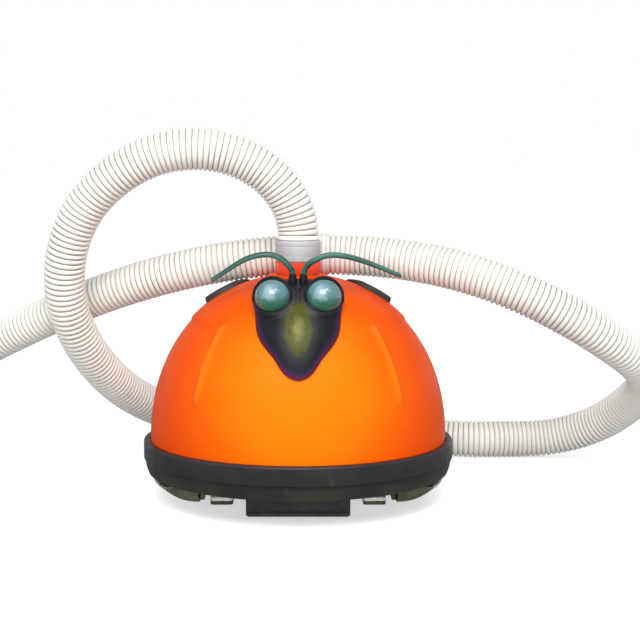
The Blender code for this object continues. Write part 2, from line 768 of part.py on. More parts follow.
def make_head(black):
    """A bulging mask that sits just clear of the shell's front."""
    columns = 12
    low, high = [], []
    for row, (height, half) in enumerate(HEAD_OUTLINE):
        rho = rho_at(height)
        reach = shell_axes(rho)[0] * rho
        down = row / (len(HEAD_OUTLINE) - 1)
        bulge = 0.0095 * (1 - down**2.5) * smoothstep(-0.08, 0.16, down)
        inner, outer = [], []
        for k in range(columns + 1):
            u = -1 + 2 * k / columns
            azimuth = -math.pi / 2 + math.asin(u * half / reach)
            crown = (1 - abs(u) ** 2.4) * bulge
            base = relief(azimuth, rho) + 0.0016
            inner.append(tuple(shell_point(azimuth, rho, base)))
            outer.append(tuple(shell_point(azimuth, rho, base + 0.0020 + crown)))
        low.append(inner)
        high.append(outer)
    head = plate_between("head_mask", low, high, black)
    for side, sign in (("left", -1), ("right", 1)):
        centre = Vector((sign * EYE_CENTRE[0], *EYE_CENTRE[1:]))
        socket = ball(f"socket_{side}", centre, EYE_RADIUS + 0.0008, Vector((0, 0, 1)), -1.0, black)
        cut(head, socket)
        foot = (sign * 0.006, -0.060)
        weld(head, rod(f"antenna_boss_{side}", "Z", foot, 0.0042, 0.2590, 0.2655, black, 12))


def ball(name, centre, radius, axis, cut_at, finish):
    """A ball about centre, cut flat at cut_at radii along axis, or whole where cut_at is -1."""
    turn = Vector((0, 0, 1)).rotation_difference(axis).to_matrix()
    sides = 18
    start = math.acos(max(min(-cut_at, 1.0), -1.0)) if cut_at > -1 else 0.08
    rings = []
    for k in range(10):
        polar = math.pi - start - (math.pi - start - 0.08) * k / 9
        ring = []
        for px, py in circle(radius * math.sin(polar), sides):
            ring.append(centre + turn @ Vector((px, py, radius * math.cos(polar))))
        rings.append(ring)
    return skin(name, rings, finish)


def make_eyes(pearl):
    for side, sign in (("left", -1), ("right", 1)):
        centre = Vector((sign * EYE_CENTRE[0], *EYE_CENTRE[1:]))
        rho = math.hypot(centre.x / SHELL_X, centre.y / (SHELL_Y + 0.003))
        azimuth = math.atan2(centre.y, centre.x)
        out = (shell_point(azimuth, rho, 0.01) - shell_point(azimuth, rho)).normalized()
        ball(f"eye_{side}", centre, EYE_RADIUS, out, -0.50, pearl)


def smooth_line(points, step, start=None, end=None):
    """Points about every step along a natural cubic spline through the given points."""
    points = np.array(points, float)
    lengths = np.linalg.norm(np.diff(points, axis=0), axis=1)
    knots = np.concatenate(([0.0], np.cumsum(lengths)))
    size = len(points)
    matrix = np.zeros((size, size))
    right = np.zeros((size, 3))
    for k in range(1, size - 1):
        before, after = lengths[k - 1], lengths[k]
        matrix[k, k - 1 : k + 2] = (after, 2 * (before + after), before)
        backward = after * (points[k] - points[k - 1]) / before
        forward = before * (points[k + 1] - points[k]) / after
        right[k] = 3 * (backward + forward)
    ends = ((0, 1, start, lengths[0]), (size - 1, size - 2, end, lengths[-1]))
    for row, other, slope, span in ends:
        if slope is None:
            matrix[row, row], matrix[row, other] = 2.0, 1.0
            right[row] = 3 * (points[max(row, other)] - points[min(row, other)]) / span
        else:
            matrix[row, row] = 1.0
            right[row] = slope
    slopes = np.linalg.solve(matrix, right)
    count = max(int(round(knots[-1] / step)), 2)
    places = np.linspace(0.0, knots[-1], count * 8 + 1)
    index = np.clip(np.searchsorted(knots, places, side="right") - 1, 0, size - 2)
    span = lengths[index][:, None]
    t = ((places - knots[index])[:, None]) / span
    line = (2 * t**3 - 3 * t**2 + 1) * points[index] + (t**3 - 2 * t**2 + t) * span * slopes[index]
    line += (3 * t**2 - 2 * t**3) * points[index + 1] + (t**3 - t**2) * span * slopes[index + 1]
    return line


def make_antenna(side, points, teal):
    """A flattened strip that sweeps out and ends in a rounded tip."""
    line = smooth_line(points, 0.010)[::6]
    ways = np.gradient(line, axis=0)
    rings = []
    last = len(line) - 1
    for k, (place, way) in enumerate(zip(line, ways)):
        way = Vector(way).normalized()
        flat = Vector((0.0, 1.0, 0.0))
        tall = way.cross(flat).normalized()
        flat = tall.cross(way).normalized()
        size = 1.0 - 0.35 * (k / last) ** 3
        ring = []
        for a, b in circle(1.0, 8):
            ring.append(Vector(place) + flat * (0.0048 * a * size) + tall * (0.0026 * b * size))
        rings.append(ring)
    skin(f"antenna_{side}", rings, teal)


def make_pad(side, sign, rubber):
    rows, columns = 5, 8
    low, high = [], []
    for i in range(rows + 1):
        rho = 0.42 + 0.19 * i / rows
        inner, outer = [], []
        for j in range(columns + 1):
            turn = math.radians(-4 + 46 * j / columns)
            azimuth = turn if sign > 0 else math.pi - turn
            base = relief(azimuth, rho) + 0.0014
            edge = max(abs(2 * i / rows - 1), abs(2 * j / columns - 1))
            inner.append(tuple(shell_point(azimuth, rho, base)))
            outer.append(tuple(shell_point(azimuth, rho, base + 0.0045 - 0.0020 * edge**4)))
        low.append(inner)
        high.append(outer)
    plate_between(f"shell_pad_{side}", low, high, rubber)


# ---------------------------------------------------------------- hose


def tube(name, points, radius, finish):
    curve = bpy.data.curves.new(name, "CURVE")
    curve.dimensions = "3D"
    curve.bevel_depth = radius
    curve.bevel_resolution = 2
    curve.use_fill_caps = True
    spline = curve.splines.new("POLY")
    spline.points.add(len(points) - 1)
    for slot, point in zip(spline.points, points):
        slot.co = (*map(float, point), 1.0)
    curve.materials.append(finish)
    made = bpy.data.objects.new(name, curve)
    bpy.context.scene.collection.objects.link(made)
    return made


def stretch(line, lengths, low, high, spacing):
    """Points of the line from one length along it to another; short end runs square its ends to it."""
    count = max(int(round((high - low) / spacing)), 1) + 1
    inner = np.linspace(low, high, count)[1:-1]
    wanted = np.concatenate(([low, low + 0.003], inner, [high - 0.003, high]))
    return np.stack([np.interp(wanted, lengths, line[:, k]) for k in range(3)], axis=1)


def hose_line():
    """The hose's free run, from the swivel to where it lies on the coil, and the length at each point."""
    cx, cy = COIL_CENTRE
    outer = COIL_RADII[-1]
    c, s = math.cos(LANDING_ANGLE), math.sin(LANDING_ANGLE)
    landing = (cx + outer * c, cy + outer * s, (2 * COIL_LAYERS - 1) * HOSE_RADIUS)
    line = smooth_line([*ROUTE, landing], 0.005, np.array((0.0, 0.0, 1.0)), np.array((-s, c, 0.0)))
    line[:, 2] = np.maximum(line[:, 2], HOSE_RADIUS + GAP)
    lengths = np.concatenate(([0.0], np.cumsum(np.linalg.norm(np.diff(line, axis=0), axis=1))))
    return line, lengths


def make_hose(cream, white):
    line, lengths = hose_line()
    coil_top = 2 * COIL_LAYERS * HOSE_RADIUS
    above = line[:, 2] > coil_top + HOSE_RADIUS
    touch_down = lengths[np.flatnonzero(above)[-1]]
    first = SECTION_LENGTH - COLLAR_TUCK
    second = first + SECTION_LENGTH
    half = CUFF_LENGTH / 2
    pieces = (
        ("hose_section_1", 0.0, first - half, HOSE_RADIUS, cream, 0.044),
        ("hose_joint_1", first - half, first + half, CUFF_RADIUS, white, 0.030),
        ("hose_section_2", first + half, second - half, HOSE_RADIUS, cream, 0.044),
        ("hose_joint_2", second - half, second + half, CUFF_RADIUS, white, 0.030),
        ("hose_section_3", second + half, touch_down, HOSE_RADIUS, cream, 0.044),
    )
    for name, low, high, radius, finish, spacing in pieces:
        tube(name, stretch(line, lengths, low + GAP, high - GAP, spacing), radius, finish)
    inner = COIL_RADII[0] - HOSE_RADIUS
    outer = COIL_RADII[-1] + HOSE_RADIUS
    profile = ((inner, 0.0), (outer, 0.0), (outer, coil_top), (inner, coil_top))
    turned("hose_coil", profile, cream, 40, COIL_CENTRE)
    cx, cy = COIL_CENTRE
    y = cy - COIL_RADII[-1]
    floor = HOSE_RADIUS + GAP
    entry = math.sqrt(outer**2 - (COIL_RADII[-1] - HOSE_RADIUS) ** 2)
    tail = [(cx + entry + GAP, y, floor), (cx + TAIL_END - GAP, y, floor)]
    tube("hose_tail", tail, HOSE_RADIUS, cream)
    return cx + TAIL_END, y


def make_cone(start, y, grey):
    """The tapered fitting on the hose's far end, hollow as far as its bore goes."""
    stations = (
        (0.000, 0.0290),
        (0.018, 0.0290),
        (0.022, 0.0270),
        (FITTING_LENGTH, 0.0215),
        (FITTING_LENGTH, 0.0170),
        (0.030, 0.0170),
    )
    floor = 0.0292
    rings = []
    for out, radius in stations:
        rings.append([(start + out, y + a, floor + b) for a, b in circle(radius, 24)])
    skin("suction_cone", rings, grey)


def main():
    clear_scene()
    orange = material("shell_orange", (0.87, 0.12, 0.006), 0.28)
    neck_orange = material("neck_orange", (0.86, 0.07, 0.008), 0.32)
    rubber = material("bumper_rubber", (0.028, 0.026, 0.030), 0.5)
    black = material("head_black", (0.016, 0.014, 0.020), 0.22)
    plastic = material("chassis_plastic", (0.040, 0.040, 0.036), 0.45)
    olive = material("wing_plastic", (0.050, 0.052, 0.038), 0.45)
    pale = material("pod_plastic", (0.74, 0.73, 0.69), 0.4)
    grey = material("collar_grey", (0.46, 0.46, 0.47), 0.4)
    cream = material("hose_cream", (0.93, 0.89, 0.80), 0.4)
    white = material("gear_white", (0.80, 0.80, 0.77), 0.4)
    teal = material("antenna_teal", (0.07, 0.22, 0.18), 0.35)
    pearl = material("eye_pearl", (0.10, 0.30, 0.26), 0.12)
    foam = material("float_foam", (0.82, 0.80, 0.74), 0.8)
    steel = material("stainless_steel", (0.60, 0.60, 0.60), 0.3, 1.0)
    make_top_shell(orange)
    make_bumper(rubber)
    make_base_pan(plastic)
    make_screws(steel)
    make_floats(foam)
    make_housing(plastic)
    make_turbine(plastic, steel, white)
    make_gearbox(plastic)
    make_neck(neck_orange, grey, cream, white)
    for side, sign in (("left", -1), ("right", 1)):
        make_foot(side, sign, plastic, pale, rubber, steel)
        make_wing(side, sign, olive, steel)
        make_pad(side, sign, black)
    make_flap("front", -1, rubber, steel)
    make_flap("rear", 1, rubber, steel)
    make_head(black)
    make_eyes(pearl)
    make_antenna("left", ANTENNA_LEFT, teal)
    make_antenna("right", ANTENNA_RIGHT, teal)
    tail_end, tail_y = make_hose(cream, white)
    make_cone(tail_end, tail_y, grey)


main()
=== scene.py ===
"""The looks of the pool cleaner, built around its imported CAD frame.

Metres, +Z up, the cleaner's face towards -Y. Every fine piece is computed from the same driving
sizes as the CAD solid that it stands for, and rides on that solid's body.
"""

import math

import bmesh
import bpy
import numpy as np
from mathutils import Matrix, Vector


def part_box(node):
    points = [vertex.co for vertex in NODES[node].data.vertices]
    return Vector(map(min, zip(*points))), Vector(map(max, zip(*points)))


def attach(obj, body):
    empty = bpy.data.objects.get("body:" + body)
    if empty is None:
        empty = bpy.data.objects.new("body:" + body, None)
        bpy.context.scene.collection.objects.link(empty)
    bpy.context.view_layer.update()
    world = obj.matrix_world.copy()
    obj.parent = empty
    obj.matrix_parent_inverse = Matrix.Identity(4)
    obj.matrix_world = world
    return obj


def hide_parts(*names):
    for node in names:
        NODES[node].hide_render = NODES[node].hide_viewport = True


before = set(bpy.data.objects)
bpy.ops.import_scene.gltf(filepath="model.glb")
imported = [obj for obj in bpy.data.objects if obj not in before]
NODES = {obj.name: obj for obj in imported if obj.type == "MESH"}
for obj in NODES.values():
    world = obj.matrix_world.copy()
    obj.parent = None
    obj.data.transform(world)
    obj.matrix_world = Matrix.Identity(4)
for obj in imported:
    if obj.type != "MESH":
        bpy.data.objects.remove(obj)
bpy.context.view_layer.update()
SIDES = (("left", -1), ("right", 1))

# Shell surface: half lengths, heights and the power of its superelliptic section.
SHELL_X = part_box("top_shell")[1].x
SHELL_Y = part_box("top_shell")[1].y
SHELL_FOOT = 0.060
SHELL_BASE = 0.070
SHELL_RISE = 0.190
SHELL_POWER = 2.15
SHELL_WALL = 0.003
BOSS_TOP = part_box("top_shell")[1].z
BOSS_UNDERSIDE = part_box("turret_bush")[0].z
BOSS_RADIUS = 0.033
NECK_HOLE = 0.0274
PANEL_LIFT = 0.0022
RIDGE_LIFT = 0.0030
RIDGE_WIDTH = 0.005
POST_PLACE = (0.100, 0.085)

# Head, eyes, antennas and pads.
HEAD_OUTLINE = (
    (0.2540, 0.0225), (0.2515, 0.0340), (0.2460, 0.0425), (0.2380, 0.0470), (0.2245, 0.0463),
    (0.2035, 0.0430), (0.1910, 0.0345), (0.1785, 0.0237), (0.1690, 0.0172), (0.1605, 0.0080),
)
HEAD_MIDDLE = 0.2150
EYE_CENTRE = (0.0276, -0.0900, 0.2437)
EYE_RADIUS = 0.0195
ANTENNA_FOOT = (0.006, -0.060)
ANTENNAS = {
    "right": (
        (0.0060, -0.0600, 0.2668), (0.0072, -0.0612, 0.2712), (0.0105, -0.0640, 0.2768),
        (0.0190, -0.0685, 0.2830), (0.0315, -0.0695, 0.2876), (0.0469, -0.0680, 0.2875),
        (0.0680, -0.0642, 0.2824), (0.0895, -0.0586, 0.2742), (0.1150, -0.0520, 0.2632),
    ),
    "left": (
        (-0.0060, -0.0600, 0.2668), (-0.0070, -0.0615, 0.2705), (-0.0100, -0.0650, 0.2755),
        (-0.0174, -0.0680, 0.2833), (-0.0285, -0.0693, 0.2882), (-0.0439, -0.0690, 0.2878),
        (-0.0580, -0.0668, 0.2832), (-0.0750, -0.0630, 0.2730), (-0.0965, -0.0530, 0.2585),
    ),
}

# Hose: ten one-metre sections, the first one reaching down into the swivel collar.
HOSE_RADIUS = 0.024
RIB_PITCH = 0.0063
RIB_STATIONS = (
    (0.0, 0.0210), (0.14, 0.0226), (0.27, 0.0237), (0.50, 0.0240), (0.73, 0.0237), (0.86, 0.0226),
)
SECTION_LENGTH = 1.0
COLLAR_TUCK = 0.040
SLEEVE_HALF = 0.026
HOSE_START = 0.3063
FLOOR_LINE = HOSE_RADIUS
COIL_CENTRE = (-0.6694, -0.0555)
COIL_RADII = (0.192, 0.240, 0.288)
LANDING_ANGLE = math.radians(70.5)
TAIL_END = 0.250
ROUTE = (
    (0.000, 0.000, HOSE_START), (-0.012, -0.003, 0.349), (-0.053, -0.009, 0.388),
    (-0.102, -0.013, 0.403), (-0.155, -0.012, 0.399), (-0.205, -0.006, 0.375), (-0.245, 0.004, 0.336),
    (-0.268, 0.015, 0.285), (-0.273, 0.034, 0.228), (-0.262, 0.067, 0.176), (-0.240, 0.116, 0.127),
    (-0.205, 0.179, 0.082), (-0.150, 0.236, 0.048), (-0.080, 0.273, 0.029), (0.000, 0.281, FLOOR_LINE),
    (0.085, 0.258, FLOOR_LINE), (0.165, 0.222, FLOOR_LINE), (0.240, 0.205, FLOOR_LINE),
    (0.286, 0.206, FLOOR_LINE), (0.329, 0.203, 0.027), (0.367, 0.191, 0.038), (0.399, 0.169, 0.058),
    (0.421, 0.136, 0.086), (0.429, 0.094, 0.115), (0.417, 0.054, 0.139), (0.391, 0.022, 0.162),
    (0.355, 0.001, 0.187), (0.310, -0.009, 0.214), (0.264, -0.008, 0.237), (0.173, 0.019, 0.267),
    (0.067, 0.053, 0.279), (-0.047, 0.059, 0.276), (-0.154, 0.072, 0.256), (-0.256, 0.098, 0.222),
    (-0.353, 0.136, 0.178), (-0.460, 0.176, 0.120),
)
# Stops of the coil: angle in degrees, column of COIL_RADII, layer. Between two stops it shifts smoothly.
COIL_STOPS = (
    (70.5, 2, 1), (198, 2, 1), (262, 1, 1), (494, 1, 1), (558, 0, 1), (790, 0, 1), (854, 0, 0),
    (1086, 0, 0), (1150, 1, 0), (1382, 1, 0), (1446, 2, 0), (1710, 2, 0),
)


# ---------------------------------------------------------------- mesh helpers


def smoothstep(low, high, value):
    t = min(max((value - low) / (high - low), 0.0), 1.0)
    return t * t * (3 - 2 * t)


def circle(radius, sides, centre=(0.0, 0.0)):
    turn = 2 * math.pi / sides
    return [
        (centre[0] + radius * math.cos(k * turn), centre[1] + radius * math.sin(k * turn))
        for k in range(sides)
    ]


def fillet(outline, radius, steps=4):
    """A closed outline with each corner rounded to about the radius."""
    rounded = []
    count = len(outline)
    for k, corner in enumerate(outline):
        corner = Vector(corner)
        before = Vector(outline[k - 1]) - corner
        after = Vector(outline[(k + 1) % count]) - corner
        start = corner + before * min(radius / before.length, 0.48)
        end = corner + after * min(radius / after.length, 0.48)
        for i in range(steps + 1):
            t = i / steps
            rounded.append(tuple(start * (1 - t) ** 2 + corner * 2 * t * (1 - t) + end * t * t))
    return rounded


def loft(rings, closed=False):
    """Vertices and faces through rings of equal counts; the ends are capped, or joined when closed."""
    count = len(rings[0])
    vertices = [tuple(map(float, point)) for ring in rings for point in ring]
    steps = len(rings) if closed else len(rings) - 1
    faces = []
    for row in range(steps):
        here = row * count
        after = (row + 1) % len(rings) * count
        for k in range(count):
            m = (k + 1) % count
            faces.append((here + k, here + m, after + m, after + k))
    if not closed:
        faces.append(tuple(range(count)))
        faces.append(tuple(range(steps * count, steps * count + count)))
    return vertices, faces


def along(axis, a, b, c):
    return {"X": (c, a, b), "Y": (a, c, b), "Z": (a, b, c)}[axis]


def lathe(profile, sides, axis="Z", centre=(0.0, 0.0)):
    """A ring with a closed profile of (radius, place along the axis) points."""
    return loft([[along(axis, *point, c) for point in circle(r, sides, centre)] for r, c in profile], True)


def rod(axis, centre, radius, low, high, sides=40, edge=0.0006):
    stations = ((radius - edge, low), (radius, low + edge), (radius, high - edge), (radius - edge, high))
    return loft([[along(axis, *point, c) for point in circle(r, sides, centre)] for r, c in stations])


def prism(outline, axis, low, high):
    return loft([[along(axis, a, b, c) for a, b in outline] for c in (low, high)])


def block(x, y, z):
    return prism(((x[0], y[0]), (x[1], y[0]), (x[1], y[1]), (x[0], y[1])), "Z", z[0], z[1])


def joined(*shapes):
    vertices, faces = [], []
    for points, polygons in shapes:
        shift = len(vertices)
        vertices += points
        faces += [tuple(shift + k for k in polygon) for polygon in polygons]
    return vertices, faces


def closed_mesh(name, shape):
    """A mesh of a closed shape, with its faces turned outwards."""
    mesh = bpy.data.meshes.new(name)
    mesh.from_pydata(shape[0], [], shape[1])
    work = bmesh.new()
    work.from_mesh(mesh)
    bmesh.ops.recalc_face_normals(work, faces=work.faces)
    work.to_mesh(mesh)
    work.free()
    return mesh


def build(name, shape, paint, body, stands_for=(), crease=40.0):
    """Makes a piece of one of the paints that rides on a body and stands for CAD nodes."""
    mesh = closed_mesh(name, shape)
    mesh.shade_smooth()
    mesh.set_sharp_from_angle(angle=math.radians(crease))
    mesh.materials.append(PAINTS[paint])
    made = bpy.data.objects.new(name, mesh)
    bpy.context.scene.collection.objects.link(made)
    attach(made, body)
    if stands_for:
        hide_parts(*stands_for)
    return made


def attribute(piece, name, values):
    layer = piece.data.attributes.new(name, "FLOAT", "POINT")
    layer.data.foreach_set("value", np.array(values, np.float32))


def soften(piece, width, segments=3):
    """Rounds a piece's sharp edges."""
    bevel = piece.modifiers.new("soft_edges", "BEVEL")
    bevel.width = width
    bevel.segments = segments
    bevel.limit_method = "ANGLE"
    bevel.angle_limit = math.radians(35)
    return piece


def trim(piece, shape, name):
    """Cuts a closed shape out of a piece."""
    tool = bpy.data.objects.new(name, closed_mesh(name, shape))
    bpy.context.scene.collection.objects.link(tool)
    change = piece.modifiers.new(name, "BOOLEAN")
    change.object = tool
    change.operation = "DIFFERENCE"
    change.solver = "EXACT"
    bpy.context.view_layer.update()
    evaluated = piece.evaluated_get(bpy.context.evaluated_depsgraph_get())
    result = bpy.data.meshes.new_from_object(evaluated)
    piece.modifiers.clear()
    piece.data = result
    bpy.data.objects.remove(tool)


def smooth_line(points, step, start=None, end=None):
    """Points about every step along a cubic spline through the given points, with optional end tangents."""
    points = np.array(points, float)
    lengths = np.linalg.norm(np.diff(points, axis=0), axis=1)
    knots = np.concatenate(([0.0], np.cumsum(lengths)))
    size = len(points)
    matrix = np.zeros((size, size))
    right = np.zeros((size, 3))
    for k in range(1, size - 1):
        before, after = lengths[k - 1], lengths[k]
        matrix[k, k - 1 : k + 2] = (after, 2 * (before + after), before)
        backward = after * (points[k] - points[k - 1]) / before
        forward = before * (points[k + 1] - points[k]) / after
        right[k] = 3 * (backward + forward)
    ends = ((0, 1, start, lengths[0]), (size - 1, size - 2, end, lengths[-1]))
    for row, other, slope, span in ends:
        if slope is None:
            matrix[row, row], matrix[row, other] = 2.0, 1.0
            right[row] = 3 * (points[max(row, other)] - points[min(row, other)]) / span
        else:
            matrix[row, row] = 1.0
            right[row] = slope
    slopes = np.linalg.solve(matrix, right)
    places = np.linspace(0.0, knots[-1], max(int(round(knots[-1] / step)), 2) + 1)
    index = np.clip(np.searchsorted(knots, places, side="right") - 1, 0, size - 2)
    span = lengths[index][:, None]
    t = ((places - knots[index])[:, None]) / span
    line = (2 * t**3 - 3 * t**2 + 1) * points[index] + (t**3 - 2 * t**2 + t) * span * slopes[index]
    line += (3 * t**2 - 2 * t**3) * points[index + 1] + (t**3 - t**2) * span * slopes[index + 1]
    return line


# ---------------------------------------------------------------- materials


def add(tree, kind, settings=None, **inputs):
    """A node with its settings and inputs; an input named as a_b is the socket "a b"."""
    node = tree.nodes.new(kind)
    for key, value in (settings or {}).items():
        setattr(node, key, value)
    for key, value in inputs.items():
        socket = node.inputs[key.replace("_", " ")]
        if isinstance(value, bpy.types.NodeSocket):
            tree.links.new(value, socket)
        else:
            socket.default_value = value
    return node


def noise(tree, coordinates, scale, detail=3.0, roughness=0.55, stretch=None):
    if stretch:
        coordinates = add(tree, "ShaderNodeMapping", Vector=coordinates, Scale=stretch).outputs["Vector"]
    settings = {"Vector": coordinates, "Scale": scale, "Detail": detail, "Roughness": roughness}
    return add(tree, "ShaderNodeTexNoise", None, **settings).outputs["Fac"]


def ramp(tree, value, low, high, to_low=0.0, to_high=1.0):
    """The value carried smoothly from low..high to to_low..to_high."""
    node = add(tree, "ShaderNodeMapRange", {"interpolation_type": "SMOOTHSTEP"}, Value=value)
    for key, number in (("From Min", low), ("From Max", high), ("To Min", to_low), ("To Max", to_high)):
        node.inputs[key].default_value = number
    return node.outputs["Result"]


def mix_colours(tree, share, first, second, mode="MIX"):
    node = tree.nodes.new("ShaderNodeMix")
    node.data_type = "RGBA"
    node.blend_type = mode
    for socket, value in ((node.inputs[0], share), (node.inputs[6], first), (node.inputs[7], second)):
        if isinstance(value, bpy.types.NodeSocket):
            tree.links.new(value, socket)
        elif isinstance(value, tuple):
            socket.default_value = (*value, 1.0)
        else:
            socket.default_value = value
    return node.outputs[2]


def calculate(tree, operation, first, second):
    node = tree.nodes.new("ShaderNodeMath")
    node.operation = operation
    for socket, value in ((node.inputs[0], first), (node.inputs[1], second)):
        if isinstance(value, bpy.types.NodeSocket):
            tree.links.new(value, socket)
        else:
            socket.default_value = value
    return node.outputs[0]


def moulded(name, dark, light, rough, grain, depth, mottle=14.0, layers=None, **uniform):
    """A moulded surface: mottled colour, uneven gloss and a fine grain; layers may change the colour."""
    made = bpy.data.materials.new(name)
    made.use_nodes = True
    tree = made.node_tree
    shader = tree.nodes["Principled BSDF"]
    place = add(tree, "ShaderNodeTexCoord").outputs["Object"]
    colour = mix_colours(tree, ramp(tree, noise(tree, place, mottle, 4.0), 0.36, 0.64), dark, light)
    if layers:
        colour = layers(tree, place, colour)
    tree.links.new(colour, shader.inputs["Base Color"])
    gloss = ramp(tree, noise(tree, place, mottle * 2.5, 5.0), 0.3, 0.7, rough[0], rough[1])
    tree.links.new(gloss, shader.inputs["Roughness"])
    bump = add(tree, "ShaderNodeBump", Height=noise(tree, place, grain, 2.0), Distance=depth)
    bump.inputs["Strength"].default_value = 0.6
    tree.links.new(bump.outputs["Normal"], shader.inputs["Normal"])
    for key, value in uniform.items():
        shader.inputs[key.replace("_", " ")].default_value = value
    return made


def axis_of(tree, place, axis):
    return add(tree, "ShaderNodeSeparateXYZ", Vector=place).outputs[axis]


def dusty(amount, dust, scale=60.0):
    """Pale dust lying in patches."""

    def layers(tree, place, colour):
        share = ramp(tree, noise(tree, place, scale, 6.0, 0.65), 0.52, 0.74, 0.0, amount)
        return mix_colours(tree, share, colour, dust)

    return layers


def ragged(tree, place, value, scale, detail, reach):
    """The value shifted by up to the reach either way, in patches."""
    shift = ramp(tree, noise(tree, place, scale, detail), 0.2, 0.8, -reach, reach)
    return calculate(tree, "ADD", value, shift)


def distance_from(tree, place, point):
    node = add(tree, "ShaderNodeVectorMath", {"operation": "DISTANCE"})
    tree.links.new(place, node.inputs[0])
    node.inputs[1].default_value = point
    return node.outputs["Value"]


def shell_layers(tree, place, colour):
    """A painted pool of light, yellower on the lower front of the shell and fading to the redder base colour
    towards its sides and crown; painted highlights along the ridges; faint streaks.
    """
    # Painted pool of light: yellower round a point under the head, with a ragged edge.
    reach = distance_from(tree, place, (0.0, -0.142, 0.148))
    reach = ragged(tree, place, reach, 12.0, 3.0, 0.012)
    colour = mix_colours(tree, ramp(tree, reach, 0.030, 0.165, 0.95, 0.0), colour, (0.86, 0.205, 0.0))
    # Painted highlight along the crest of each ridge.
    painted_ridge_highlight = add(tree, "ShaderNodeAttribute", {"attribute_name": "ridge"}).outputs["Fac"]
    colour = mix_colours(tree, ramp(tree, painted_ridge_highlight, 0.25, 0.95, 0.0, 0.55), colour, (0.92, 0.205, 0.003))
    streaks = ramp(tree, noise(tree, place, 9.0, 5.0, 0.6, (1.0, 1.0, 0.12)), 0.50, 0.72, 0.0, 0.12)
    return mix_colours(tree, streaks, colour, (0.86, 0.12, 0.0))


def bumper_layers(tree, place, colour):
    """Olive staining towards the lower edge and faint scuffs along the ring."""
    low = ramp(tree, axis_of(tree, place, "Z"), 0.052, 0.034, 0.0, 0.75)
    patches = ramp(tree, noise(tree, place, 22.0, 4.0), 0.35, 0.65, 0.3, 1.0)
    colour = mix_colours(tree, calculate(tree, "MULTIPLY", low, patches), colour, (0.050, 0.050, 0.030))
    scuff = ramp(tree, noise(tree, place, 120.0, 3.0, 0.6, (1.0, 1.0, 0.25)), 0.62, 0.78, 0.0, 0.4)
    return mix_colours(tree, scuff, colour, (0.085, 0.082, 0.090))


def head_layers(tree, place, colour):
    """A purple-red rim, and a painted highlight down the middle of the face: a dark grey halo, speckled
    olive and a paler olive-gold core.
    """
    rim = add(tree, "ShaderNodeAttribute", {"attribute_name": "rim"}).outputs["Fac"]
    colour = mix_colours(tree, ramp(tree, rim, 0.80, 0.93, 0.0, 0.55), colour, (0.040, 0.016, 0.085))
    colour = mix_colours(tree, ramp(tree, rim, 0.90, 0.985, 0.0, 0.8), colour, (0.115, 0.004, 0.012))
    # Painted highlight down the middle of the face: dark grey halo, speckled olive, paler olive-gold core.
    face_highlight = add(tree, "ShaderNodeAttribute", {"attribute_name": "face_highlight"}).outputs["Fac"]
    uneven = ragged(tree, place, face_highlight, 160.0, 4.0, 0.05)
    colour = mix_colours(tree, ramp(tree, face_highlight, 0.05, 0.48, 0.0, 0.85), colour, (0.034, 0.032, 0.038))
    grain = ramp(tree, noise(tree, place, 420.0, 3.0, 0.7), 0.30, 0.66, 0.5, 1.0)
    outer = calculate(tree, "MULTIPLY", ramp(tree, uneven, 0.40, 0.56), grain)
    colour = mix_colours(tree, outer, colour, (0.082, 0.084, 0.002))
    core = calculate(tree, "MULTIPLY", ramp(tree, uneven, 0.66, 0.95, 0.0, 0.85), grain)
    return mix_colours(tree, core, colour, (0.250, 0.245, 0.080))


def eye_layers(tree, place, colour):
    """Blue-grey pearl above, green below, swirled a little, with a bluish-white painted highlight on its
    upper front.
    """
    swirl = ramp(tree, noise(tree, place, 55.0, 2.0), 0.3, 0.7, -0.004, 0.004)
    height = calculate(tree, "ADD", axis_of(tree, place, "Z"), swirl)
    colour = mix_colours(tree, ramp(tree, height, -0.004, 0.011), colour, (0.090, 0.215, 0.235))
    colour = mix_colours(tree, ramp(tree, height, -0.006, -0.016), colour, (0.022, 0.130, 0.055))
    # Painted highlight: a bluish-white cloud on the upper front of the ball, with a ragged edge.
    reach = distance_from(tree, place, (-0.0030, -0.0170, 0.0078))
    eye_highlight = ragged(tree, place, reach, 140.0, 3.0, 0.0025)
    return mix_colours(tree, ramp(tree, eye_highlight, 0.0025, 0.0125, 0.80, 0.0), colour, (0.340, 0.480, 0.560))


def antenna_layers(tree, place, colour):
    """Painted shade: a darker green on the underside."""
    underside_shade = add(tree, "ShaderNodeAttribute", {"attribute_name": "underside_shade"}).outputs["Fac"]
    return mix_colours(tree, ramp(tree, underside_shade, 0.15, 0.75, 0.0, 0.85), colour, (0.020, 0.062, 0.042))


def hose_layers(tree, place, colour):
    """Painted shade, olive-brown, in the grooves between the ribs, stronger in some patches."""
    # Painted shade in the grooves, uneven in patches.
    groove = add(tree, "ShaderNodeAttribute", {"attribute_name": "groove"}).outputs["Fac"]
    patches = ramp(tree, noise(tree, place, 16.0, 4.0), 0.3, 0.7, 0.55, 1.0)
    groove_shade = calculate(tree, "MULTIPLY", ramp(tree, groove, 0.35, 1.0), patches)
    return mix_colours(tree, groove_shade, colour, (0.155, 0.135, 0.065))


def wing_layers(tree, place, colour):
    """Bleached, chalky outer ends with a speckled edge between."""
    reach = calculate(tree, "ABSOLUTE", axis_of(tree, place, "X"), 0.0)
    chalk = ramp(tree, ragged(tree, place, reach, 90.0, 5.0, 0.009), 0.146, 0.166, 0.0, 0.9)
    colour = mix_colours(tree, chalk, colour, (0.74, 0.75, 0.71))
    speck = ramp(tree, noise(tree, place, 700.0, 2.0), 0.62, 0.72, 0.0, 0.5)
    return mix_colours(tree, speck, colour, (0.16, 0.17, 0.12))


